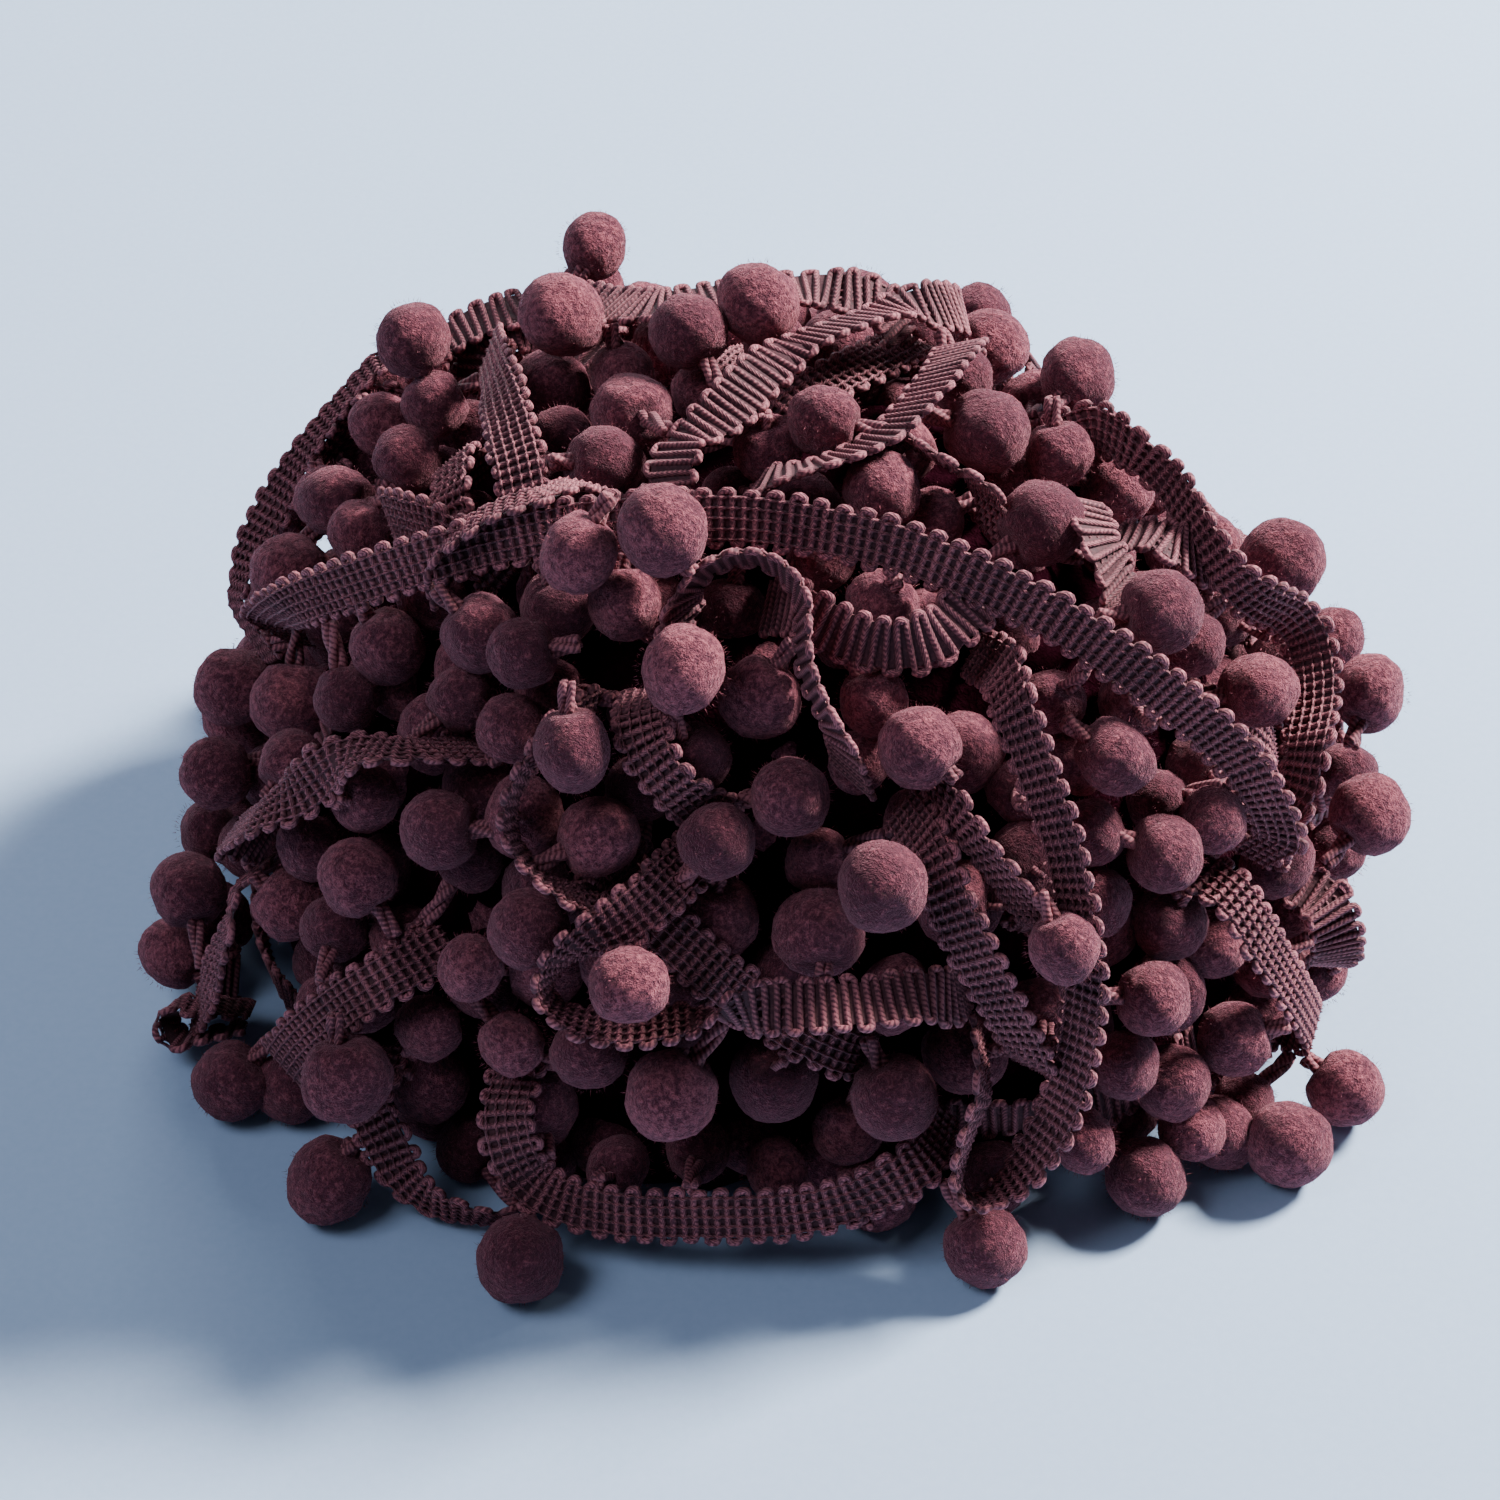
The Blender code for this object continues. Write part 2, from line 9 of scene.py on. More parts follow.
import bmesh
import bpy
import numpy as np
from mathutils import Matrix, Vector, noise


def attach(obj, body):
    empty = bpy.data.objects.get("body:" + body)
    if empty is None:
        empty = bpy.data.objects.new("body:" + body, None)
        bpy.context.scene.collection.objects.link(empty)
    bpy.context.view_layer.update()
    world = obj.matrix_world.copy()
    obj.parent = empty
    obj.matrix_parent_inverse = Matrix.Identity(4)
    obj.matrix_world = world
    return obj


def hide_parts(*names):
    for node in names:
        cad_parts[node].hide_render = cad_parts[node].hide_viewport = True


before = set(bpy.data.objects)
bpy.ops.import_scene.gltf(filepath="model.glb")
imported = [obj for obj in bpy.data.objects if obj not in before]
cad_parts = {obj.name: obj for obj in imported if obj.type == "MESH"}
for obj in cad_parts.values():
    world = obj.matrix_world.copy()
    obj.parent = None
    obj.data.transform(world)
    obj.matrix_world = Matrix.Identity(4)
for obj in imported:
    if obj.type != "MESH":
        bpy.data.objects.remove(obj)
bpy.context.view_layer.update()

MM = 0.001
BODY = "root"

# ------------------------------------------------------------------ named sizes
HALF_RIGHT, HALF_LEFT = 72.0 * MM, 72.0 * MM
HALF_BACK, HALF_FRONT = 64.0 * MM, 63.0 * MM
HEIGHT = 82.0 * MM
FULLNESS, PLAN_FULLNESS = 2.25, 2.40
CENTRE = np.array([1.57 * MM, 0.475 * MM, 0.0])     # dome axis in the frame

BRAID_WIDTH = 6.8 * MM
WEFT = 0.41 * MM            # radius of the thick cord that runs back and forth
PITCH = 2.45 * MM           # one there-and-back of the weft
WARPS = 5                   # fine threads along the braid
WARP = 0.20 * MM            # their radius
POMPOM = 10.0 * MM

# ------------------------------------------------------------------ camera
FOCAL_PX = 3800.0           # in a 1500 x 1500 frame
CAM_PITCH = math.radians(38.0)
CAM_FAR = 458.0 * MM
AIM = np.array([0.0, 0.0, 27.0 * MM])
AIM_PX = (780.0, 735.0)

VIEW = np.array([0.0, math.cos(CAM_PITCH), -math.sin(CAM_PITCH)])
VRIGHT = np.array([1.0, 0.0, 0.0])
VUP = np.cross(VRIGHT, VIEW)
EYE = AIM - CAM_FAR * VIEW          # dome coordinates: the dome's axis is x = y = 0


def ray_at(x, y):
    v = VIEW + VRIGHT * (x - AIM_PX[0]) / FOCAL_PX - VUP * (y - AIM_PX[1]) / FOCAL_PX
    return v / np.linalg.norm(v)


def pixel(p):
    v = np.asarray(p) - EYE
    z = v @ VIEW
    return np.array([AIM_PX[0] + FOCAL_PX * (v @ VRIGHT) / z, AIM_PX[1] - FOCAL_PX * (v @ VUP) / z])


def make_camera():
    cam = bpy.data.cameras.new("view")
    cam.sensor_fit = "HORIZONTAL"
    cam.sensor_width = 36.0
    cam.lens = 36.0 * FOCAL_PX / 1500.0
    cam.clip_start, cam.clip_end = 0.01, 20.0
    obj = bpy.data.objects.new("view", cam)
    bpy.context.scene.collection.objects.link(obj)
    obj.location = Vector(EYE + CENTRE)
    ahead = Vector(ray_at(750.0, 750.0))
    obj.rotation_euler = ahead.to_track_quat("-Z", "Y").to_euler()
    bpy.context.scene.camera = obj
    return obj


# ------------------------------------------------------------------ the dome
def dome_radius(d):
    flat = np.hypot(d[..., 0], d[..., 1])
    safe = np.where(flat < 1e-6, 1.0, flat)
    east = np.where(flat < 1e-6, 1.0, d[..., 0] / safe)
    north = d[..., 1] / safe
    across = np.where(east > 0.0, HALF_RIGHT, HALF_LEFT)
    deep = np.where(north > 0.0, HALF_BACK, HALF_FRONT)
    wide = ((np.abs(east) / across) ** PLAN_FULLNESS
            + (np.abs(north) / deep) ** PLAN_FULLNESS) ** (-1.0 / PLAN_FULLNESS)
    up = np.maximum(d[..., 2], 0.0)
    return ((np.maximum(flat, 1e-9) / wide) ** FULLNESS
            + (up / HEIGHT) ** FULLNESS) ** (-1.0 / FULLNESS)


def bearing(az, el):
    a, e = math.radians(az), math.radians(el)
    return np.array([math.cos(e) * math.cos(a), math.cos(e) * math.sin(a), math.sin(e)])


def on_dome(az, el, lift):
    u = bearing(az, el)
    return u * (float(dome_radius(u)) + lift)


def lift_of(p):
    """How far points stand outside the dome, along their own bearing."""
    r = np.linalg.norm(p, axis=-1)
    return r - dome_radius(p / r[..., None])


def outward(p):
    across = HALF_RIGHT if p[0] > 0 else HALF_LEFT
    deep = HALF_BACK if p[1] > 0 else HALF_FRONT
    n = np.array([p[0] / across ** 2, p[1] / deep ** 2, max(p[2], 0.0) / HEIGHT ** 2])
    return n / np.linalg.norm(n)


STEPS = np.arange(300.0, 640.0, 0.5) * MM


def seen_at(x, y, lift, low=0.0):
    """Point behind a pixel, at a lift from the dome; the nearest there is past its edge."""
    v = ray_at(x, y)
    pts = EYE + STEPS[:, None] * v
    ok = pts[:, 2] > low
    pts = pts[ok]
    lifts = lift_of(pts)
    inside = np.nonzero(lifts <= lift)[0]
    if len(inside):
        return pts[inside[0]]
    best = int(np.argmin(lifts))
    return pts[best]


# ------------------------------------------------------------------ braid runs, as the solids
Bend = namedtuple("Bend", "az el lift turn")
RUNS = {
    "braid_front_band": [
        Bend(181.6, 36.8, -2.4, -95), Bend(190.3, 42.6, -1.0, -68), Bend(194.9, 45.9, -0.5, -49),
        Bend(201.1, 50.6, -0.4, -43), Bend(206.6, 54.9, -0.5, -38), Bend(211.3, 58, -0.4, -31),
        Bend(215.9, 61, -0.5, -30), Bend(221.5, 63.7, -0.5, -29), Bend(231.6, 67.4, -0.6, -27),
        Bend(251.2, 70.7, -0.6, -26), Bend(266.4, 71.3, -0.6, -29), Bend(281.3, 70.1, -0.6, -35),
        Bend(294.5, 67.4, -0.5, -41), Bend(305.2, 62.7, -0.4, -45), Bend(312.4, 58, -0.5, -49),
        Bend(317.6, 52.8, -0.5, -53), Bend(322.5, 46.4, -0.5, -56), Bend(325.9, 41, -0.4, -63),
        Bend(327.9, 35.8, -0.5, -73), Bend(330.1, 30.7, -2.1, -83)],
    "braid_left_edge": [
        Bend(151.5, 49.3, 2.7, 28), Bend(155.3, 46.1, 2.3, 27), Bend(159.6, 42.3, 2.0, 33),
        Bend(162.6, 39.1, 1.6, 45), Bend(165, 36.4, 1.3, 52), Bend(167.4, 33.9, 1.4, 42),
        Bend(169.4, 31.7, 1.0, 26), Bend(170.8, 30, 0.4, 19)],
    "braid_crown_left": [
        Bend(147.3, 58.6, -3.2, -40), Bend(165.5, 65.1, -1.6, -32), Bend(179.3, 67.2, -0.7, -14),
        Bend(193.3, 67.7, -0.5, 4), Bend(205, 67, -0.8, 10), Bend(212.8, 65.5, -2.7, 7)],
    "braid_top_back": [
        Bend(147.3, 52.2, -0.2, -45), Bend(143.7, 54.4, 0.4, -47), Bend(139, 57, 0.0, -49),
        Bend(133.1, 59.7, -1.0, -38), Bend(136.8, 69, -1.9, -21), Bend(140.1, 75.7, -0.5, -16),
        Bend(124.6, 78.6, -0.5, -16), Bend(98.7, 79.2, -0.5, -17), Bend(78.8, 78.2, -0.6, -27),
        Bend(64.6, 77.7, -0.5, -40), Bend(54.8, 75.5, -2.0, -52)],
    "braid_top_ridge": [
        Bend(240.5, 71.9, -2.6, 7), Bend(236.8, 74.3, -1.0, 11), Bend(234.7, 76.9, -0.7, 22),
        Bend(238, 79.2, -0.5, -2), Bend(241.4, 82, -0.4, -23), Bend(242.2, 85.3, -0.4, -24),
        Bend(259.5, 88.7, -0.3, -9), Bend(28, 88.1, -0.0, 14), Bend(37.5, 84, -0.1, 19),
        Bend(39.1, 79.9, -0.1, 15), Bend(40, 76.9, -0.1, -9), Bend(37.8, 74.4, -0.3, -40),
        Bend(42.1, 69.6, -2.0, -47)],
    "braid_crown_hook": [
        Bend(21, 74.4, -2.1, -34), Bend(359.9, 77.1, -0.7, -40), Bend(341.8, 78, -0.6, -41),
        Bend(324.2, 78, -0.6, -42), Bend(310.5, 77.5, -0.7, -41), Bend(298.9, 77.2, -1.0, -44),
        Bend(287, 76.8, -0.9, -47), Bend(276.7, 76.6, -1.4, -45), Bend(266, 76.4, -2.5, -36)],
    "braid_right_shoulder": [
        Bend(1.3, 63.2, -2.6, -110), Bend(354.6, 60.9, -0.6, -105), Bend(352.3, 57.5, -0.4, -105),
        Bend(347, 54.4, -0.2, -104), Bend(343.7, 50.8, -0.1, -95), Bend(344.7, 46.6, 0.1, -75),
        Bend(349.4, 41.9, 0.3, -70), Bend(349.7, 38.3, 0.2, -84), Bend(344.8, 36.2, -0.1, -82),
        Bend(338.5, 34.8, -0.4, -89), Bend(335.6, 31.8, -2.1, -97)],
    "braid_centre_ring": [
        Bend(252.4, 64.4, -1.8, -88), Bend(254.6, 66, -0.7, -94), Bend(258.1, 67.2, -0.3, -96),
        Bend(262.9, 67.8, -0.1, -95), Bend(268, 67.4, 0.0, -92), Bend(271.9, 66, 0.0, -86),
        Bend(273.7, 64, 0.1, -80), Bend(273.4, 61.7, -0.0, -78), Bend(273.7, 59.5, -0.4, -79),
        Bend(275.1, 57.2, -0.6, -80), Bend(277, 55, -0.8, -81), Bend(278.7, 53.3, -2.4, -76)],
    "braid_right_loop": [
        Bend(304.7, 56.4, -4.4, -68), Bend(302.8, 54.3, -2.2, -66), Bend(301.8, 52.7, -0.8, -59),
        Bend(301.7, 49.2, -0.5, -58), Bend(301.8, 45.4, -0.3, -60), Bend(302.1, 41.6, -0.1, -63),
        Bend(301.9, 37.8, 0.2, -66), Bend(301.8, 33.9, 0.2, -67), Bend(301.6, 29.8, 0.1, -68),
        Bend(300.7, 25.7, 0.0, -68), Bend(299.5, 21.6, 0.1, -68), Bend(297.7, 17.3, 0.4, -68),
        Bend(295.2, 13.6, 0.8, -74), Bend(292.6, 10.5, 1.2, -96), Bend(290.1, 9.2, 1.5, -119),
        Bend(288.1, 10.3, 1.5, -92), Bend(287.7, 13.2, 0.9, -62), Bend(288.8, 16.8, 0.3, -54),
        Bend(290.8, 20.3, -1.2, -47)],
    "braid_mid_slant": [
        Bend(288.3, 44, -3.4, -39), Bend(289, 39.8, -1.3, -39), Bend(290.5, 35.5, -0.8, -40),
        Bend(292.5, 31, -1.0, -43), Bend(294.4, 26.9, -1.6, -50), Bend(296.5, 22.5, -2.8, -61)],
    "braid_mid_band": [
        Bend(252.1, 40.3, -5.0, 9), Bend(256.4, 37.8, -3.6, 14), Bend(260.5, 35.3, -4.0, 20),
        Bend(264.4, 32.3, -5.9, 21), Bend(269.4, 29.3, -6.7, 16), Bend(274.3, 26.9, -5.6, 11),
        Bend(278.2, 24.9, -6.4, 12)],
    "braid_left_drop": [
        Bend(239.2, 50.8, -2.4, 81), Bend(238.6, 48.1, -0.7, 93), Bend(238.2, 45.3, 0.0, 99),
        Bend(238.9, 42.7, 0.3, 102), Bend(241.6, 40.6, 0.3, 101), Bend(244.6, 39.3, -0.2, 98),
        Bend(247, 38.7, -1.8, 92), Bend(248.4, 38.5, -3.8, 90)],
    "braid_left_ring": [
        Bend(256.5, 41.3, -2.2, -1), Bend(255, 39.5, -0.4, 2), Bend(252.5, 37.5, 0.2, 16),
        Bend(249.3, 35.5, 0.6, 45), Bend(246.9, 33.3, 0.8, 70), Bend(246, 30.7, 0.9, 91),
        Bend(247.4, 28.8, 1.0, 96), Bend(250.8, 28.1, 0.8, 79), Bend(254.8, 28.4, 0.6, 67),
        Bend(258.9, 29.4, 0.5, 68), Bend(262.1, 29.9, 0.3, 88), Bend(264.5, 30.3, 0.5, 127),
        Bend(267.1, 31.2, 0.7, 177), Bend(270.5, 31.6, 0.8, 212), Bend(275.2, 31.6, 0.3, 225),
        Bend(280.3, 31.5, -0.5, 228), Bend(285.2, 31.5, -1.4, 223), Bend(288.9, 30.3, -3.6, 212)],
    "braid_centre_tab": [
        Bend(250.1, 54.5, -2.6, 9), Bend(252, 52.6, -1.0, -1), Bend(254, 51, -0.4, -15),
        Bend(256.4, 49.6, -0.6, -22), Bend(258.7, 48.8, -2.4, -17)],
    "braid_low_band": [
        Bend(241.9, 15.2, -2.4, 18), Bend(243.3, 12.2, -0.9, 27), Bend(245, 8.4, -1.3, 37),
        Bend(248.9, 6.7, -1.1, 26), Bend(255, 6.9, -0.2, 19), Bend(263, 7.5, -0.0, 18),
        Bend(271, 8.1, -0.0, 18), Bend(277.1, 9.3, -0.4, 11), Bend(281.6, 11.6, -0.6, 12),
        Bend(285.2, 12.7, -2.4, 22)],
    "braid_left_foot": [
        Bend(228, 25.1, -2.3, -4), Bend(225.6, 22, -0.6, 1), Bend(222.3, 17.9, -0.6, 6),
        Bend(219.1, 13.5, -0.9, 9), Bend(215.4, 8.4, -2.4, 12)],
    "braid_left_rise": [
        Bend(223.2, 44.6, -2.4, -62), Bend(220.5, 43.1, -0.7, -58), Bend(217.1, 41.1, -0.4, -28),
        Bend(214.8, 38.5, -0.4, 13), Bend(213.1, 35.7, -0.1, 4), Bend(210.9, 33.2, 0.3, -27),
        Bend(207.9, 30.1, 0.3, -42), Bend(200.8, 24.3, -2.0, -39)],
    "braid_right_foot": [
        Bend(321.6, 29.2, -2.3, 1), Bend(322.2, 25, -0.7, 8), Bend(324.6, 19.7, -0.6, 11),
        Bend(327.2, 14.8, -0.8, 11), Bend(331.7, 8.4, -2.2, 9)],
    "braid_back_high": [
        Bend(50, 51, -5.4, 0), Bend(68, 51, -1.6, -10), Bend(88, 50, -0.4, -10),
        Bend(106, 46, -0.4, -5), Bend(122, 42, -0.6, 0), Bend(134, 39.5, -2.2, 0)],
    "braid_back_low": [
        Bend(36, 19, -2.2, 0), Bend(50, 13.0, -0.4, 0), Bend(68, 9.6, -0.4, 0),
        Bend(88, 9.4, -0.2, 0), Bend(106, 11.5, -0.2, 0), Bend(120, 17, -2.2, 0)],
    "braid_back_cross": [
        Bend(25, 31.5, -5.4, 10), Bend(36, 31.5, -3.6, 15), Bend(49, 32.5, -1.4, 20),
        Bend(62, 36, -0.4, 10), Bend(76, 39.5, -0.6, 0), Bend(88, 41, -2.2, 0)],
    "braid_back_slant": [
        Bend(4, 12, -2.2, 0), Bend(12, 18, -0.4, 10), Bend(24, 23, -0.2, 30),
        Bend(40, 24, -0.2, 30), Bend(56, 21.5, -0.6, 10), Bend(67, 19, -2.2, 0)],
    "braid_back_drop": [
        Bend(160, 41, -2.2, 10), Bend(152, 36, -0.4, 15), Bend(148, 28.5, -0.2, 40),
        Bend(151, 20.5, -0.2, 20), Bend(158, 13, -0.4, 0), Bend(165, 9, -1.8, 0)],
    "braid_back_mid": [
        Bend(92, 31, -2.2, 0), Bend(102, 27, -0.4, 5), Bend(114, 25.5, -0.4, 15),
        Bend(126, 27.5, -0.6, 10), Bend(136, 31, -2.2, 0)],
}
# which face of the braid looks out: the warp side shows a grid, the other the meander
GRID_OUT = {"braid_front_band": 1, "braid_left_edge": 1, "braid_crown_left": 1,
            "braid_top_back": -1, "braid_top_ridge": -1, "braid_crown_hook": -1,
            "braid_right_shoulder": 1, "braid_centre_ring": -1, "braid_right_loop": 1,
            "braid_mid_slant": 1, "braid_mid_band": 1, "braid_left_drop": 1,
            "braid_left_ring": 1, "braid_centre_tab": 1, "braid_low_band": 1,
            "braid_left_foot": 1, "braid_left_rise": 1, "braid_right_foot": 1,
            "braid_back_high": -1, "braid_back_low": 1, "braid_back_cross": 1,
            "braid_back_slant": -1, "braid_back_drop": 1, "braid_back_mid": -1}

# proud pompoms, as the solids
Ball = namedtuple("Ball", "name az el lift size long")
BALLS = [
    Ball("pompom_crown_back", 123.5, 61, 3.9, 8.6, 1.00),
    Ball("pompom_crown_left", 155, 70.5, 1.0, 9.8, 1.04),
    Ball("pompom_shoulder_left", 157, 56.5, 3.4, 9.2, 1.03),
    Ball("pompom_left_high", 185, 30.5, -1.4, 9.4, 1.00),
    Ball("pompom_left_mid", 190, 24.0, -1.6, 8.6, 1.02),
    Ball("pompom_left_low", 194, 13.0, 0.4, 9.2, 1.00),
    Ball("pompom_left_foot", 194, 5.6, 2.2, 8.8, 1.02),
    Ball("pompom_front_left_foot", 211, 4.0, 1.2, 9.4, 1.00),
    Ball("pompom_front_left_toe", 227, 4.0, 3.8, 9.8, 1.04),
    Ball("pompom_front_toe", 246.8, 4.0, 6.1, 9.8, 1.03),
    Ball("pompom_loop_toe", 290, 4.0, 2.2, 9.2, 1.02),
    Ball("pompom_front_right_toe", 308.5, 4.0, -2.6, 9.6, 1.00),
    Ball("pompom_right_toe", 321, 4.0, 3.2, 9.8, 1.02),
    Ball("pompom_right_foot", 330, 4.0, 3.2, 9.2, 1.00),
    Ball("pompom_right_low", 346, 22.5, 1.4, 9.6, 1.03),
    Ball("pompom_right_mid", 356, 28.5, 3.0, 9.4, 1.04),
    Ball("pompom_right_shoulder", 3, 41.0, -0.8, 9.8, 1.06),
    Ball("pompom_crown_right", 17, 63.5, -2.4, 9.2, 1.02),
    Ball("pompom_over_band", 248.8, 66.5, 5.6, 9.8, 1.05),
    Ball("pompom_front_face", 281.2, 41.6, 1.8, 9.8, 1.03),
    Ball("pompom_front_low", 259, 21.5, -1.0, 10.2, 1.02),
    Ball("pompom_back_right_foot", 24, 4.0, 1.8, 9.6, 1.00),
    Ball("pompom_back_foot", 62, 4.0, 6.2, 9.4, 1.00),
    Ball("pompom_back_left_foot", 128, 4.0, 1.4, 9.4, 1.03),
    Ball("pompom_back_low", 88, 18.0, 1.2, 9.6, 1.00),
    Ball("pompom_back_high", 76, 60.5, -4.4, 9.6, 1.04),
    Ball("pompom_back_shoulder", 116, 35.0, 1.0, 9.4, 1.00),
    Ball("pompom_back_left_low", 140, 14.0, 1.0, 9.4, 1.02),
]

# ------------------------------------------------------------------ pompoms seen from the front
# x, y: middle in the 1500 frame.  d: across in the same pixels.  deep: millimetres
# further in (or, below 0, out) than a ball that just touches the dome's surface.
# neck: bearing in the frame of its neck, degrees, 90 is up; None where it is hidden.
Seen = namedtuple("Seen", "x y d deep neck")
SEEN = [
    Seen(590, 289, 68, 0, None), Seen(686, 333, 78, -5, -60), Seen(755, 303, 80, -4, None), Seen(383, 390, 60, 0, None),
    Seen(433, 405, 68, 0, None), Seen(405, 462, 70, -2, -120), Seen(370, 458, 60, 2, None), Seen(345, 440, 58, 3, None),
    Seen(325, 502, 70, 0, None), Seen(360, 535, 68, 1, None), Seen(630, 411, 84, 0, None), Seen(601, 467, 84, 0, None),
    Seen(620, 374, 64, 4, None), Seen(765, 449, 68, 1, None), Seen(823, 422, 78, 0, -10), Seen(733, 497, 64, 2, None),
    Seen(880, 490, 80, 0, -140), Seen(984, 430, 88, -1, 165), Seen(988, 345, 78, 0, None), Seen(978, 314, 66, 2, None),
    Seen(957, 378, 62, 2, None), Seen(1057, 452, 68, 1, 100), Seen(1115, 487, 76, 0, 165), Seen(1040, 522, 88, 0, 215),
    Seen(1160, 610, 86, -1, 185), Seen(1190, 642, 66, 2, None), Seen(1257, 688, 84, -1, 190), Seen(1345, 768, 62, 2, None),
    Seen(1115, 755, 84, 0, 145), Seen(577, 553, 84, -5, 60), Seen(623, 603, 76, 0, None), Seen(386, 648, 80, 0, 125),
    Seen(480, 635, 82, 0, 135), Seen(522, 655, 72, -3, 10), Seen(682, 670, 92, -2, None), Seen(760, 697, 85, 0, 60),
    Seen(730, 612, 62, 2, 80), Seen(882, 605, 76, 1, None), Seen(873, 700, 76, 1, 120), Seen(920, 747, 86, 0, None),
    Seen(434, 735, 84, 0, None), Seen(345, 700, 62, 2, None), Seen(387, 722, 62, 2, None), Seen(572, 750, 88, -1, 95),
    Seen(597, 838, 86, 0, 205), Seen(697, 757, 56, 2, None), Seen(790, 797, 82, 0, None), Seen(718, 842, 80, 1, None),
    Seen(920, 827, 90, 0, None), Seen(715, 918, 92, 1, None), Seen(820, 932, 95, 1, None), Seen(365, 800, 70, 1, None),
    Seen(440, 831, 80, 0, 0), Seen(358, 881, 82, 0, None), Seen(208, 834, 64, 1, None), Seen(289, 908, 74, 1, None),
    Seen(335, 931, 68, 2, None), Seen(406, 940, 70, 1, None), Seen(472, 970, 70, 1, None), Seen(530, 931, 82, -2, None),
    Seen(630, 986, 80, -6, None), Seen(1065, 945, 76, -1, 115), Seen(967, 1050, 87, 0, None), Seen(897, 1097, 90, 0, 115),
    Seen(590, 1054, 80, 2, None), Seen(677, 1091, 86, 0, 80), Seen(537, 1110, 88, 1, None), Seen(513, 1045, 64, 3, None),
    Seen(348, 1082, 90, -6, 100), Seen(292, 1090, 76, 0, 80), Seen(620, 1168, 66, 3, None), Seen(780, 1172, 72, 3, None),
    Seen(1165, 851, 80, 0, 160), Seen(1171, 920, 78, 0, None), Seen(1213, 941, 72, 1, None), Seen(1155, 997, 78, 0, 175),
    Seen(1237, 1036, 76, 0, None), Seen(1126, 1063, 74, 1, None), Seen(1175, 1080, 78, 1, None), Seen(1282, 1066, 64, 2, None),
    Seen(1085, 1138, 68, 0, None), Seen(1223, 1130, 78, 0, None), Seen(1277, 858, 80, 1, None), Seen(1213, 818, 60, 2, None),
    Seen(1318, 970, 64, 1, None), Seen(1278, 566, 80, 1, None), Seen(1331, 634, 62, 2, None), Seen(1336, 846, 66, 2, None),
    Seen(292, 766, 60, 1, None), Seen(722, 1238, 54, 3, None), Seen(660, 612, 54, 4, None), Seen(820, 560, 60, 6, None),
    Seen(820, 860, 62, 5, None), Seen(1020, 790, 66, 7, None), Seen(460, 700, 60, 4, None), Seen(640, 560, 56, 4, None),
    Seen(950, 690, 62, 6, None), Seen(545, 1165, 60, 5, None), Seen(430, 1030, 64, 4, None), Seen(1265, 960, 60, 4, None),
    Seen(1005, 640, 60, 7, None), Seen(1240, 610, 60, 6, None), Seen(700, 395, 60, 5, None), Seen(560, 440, 62, 5, None),
    Seen(1040, 1010, 62, 6, None), Seen(1000, 900, 62, 6, None), Seen(470, 1150, 62, 6, None), Seen(330, 1010, 58, 5, None),
    Seen(240, 985, 62, 3, None), Seen(250, 850, 62, 3, None), Seen(1300, 765, 60, 4, None), Seen(772, 345, 52, 2, None),
    Seen(1100, 440, 52, 6, None), Seen(700, 1150, 60, 6, None), Seen(850, 1130, 60, 6, None), Seen(470, 860, 64, 5, None),
    Seen(510, 730, 60, 5, None), Seen(640, 790, 62, 6, None), Seen(760, 900, 60, 6, None), Seen(900, 880, 60, 7, None),
    Seen(930, 1120, 60, 5, None), Seen(1100, 900, 66, 4, None), Seen(1090, 830, 62, 5, None), Seen(1130, 700, 60, 6, None),
    Seen(1050, 700, 60, 6, None), Seen(1200, 760, 62, 5, None), Seen(1160, 800, 60, 4, None), Seen(860, 760, 60, 6, None),
    Seen(850, 640, 58, 6, None), Seen(300, 640, 62, 3, None), Seen(330, 620, 60, 5, None), Seen(430, 600, 60, 5, None),
    Seen(550, 690, 60, 6, None), Seen(640, 720, 60, 7, None), Seen(385, 870, 60, 5, None), Seen(310, 850, 62, 4, None),
    Seen(500, 560, 60, 6, None), Seen(440, 480, 60, 5, None), Seen(480, 430, 60, 6, None), Seen(540, 370, 60, 6, None),
    Seen(900, 450, 60, 7, None), Seen(850, 380, 60, 7, None), Seen(930, 520, 60, 6, None), Seen(1000, 480, 60, 6, None),
    Seen(1165, 515, 60, 8, None), Seen(1210, 540, 60, 6, None),
    Seen(1307, 935, 60, 2, None), Seen(1262, 1003, 62, 2, None), Seen(1245, 1100, 60, 2, None), Seen(1195, 1125, 62, 1, None),
    Seen(475, 368, 56, 3, None), Seen(1030, 402, 52, 4, None), Seen(379, 426, 46, 1, None), Seen(318, 458, 56, 1, None), Seen(298, 520, 56, 1, None), Seen(280, 575, 56, 1, None), Seen(1100, 560, 60, 5, None),
]

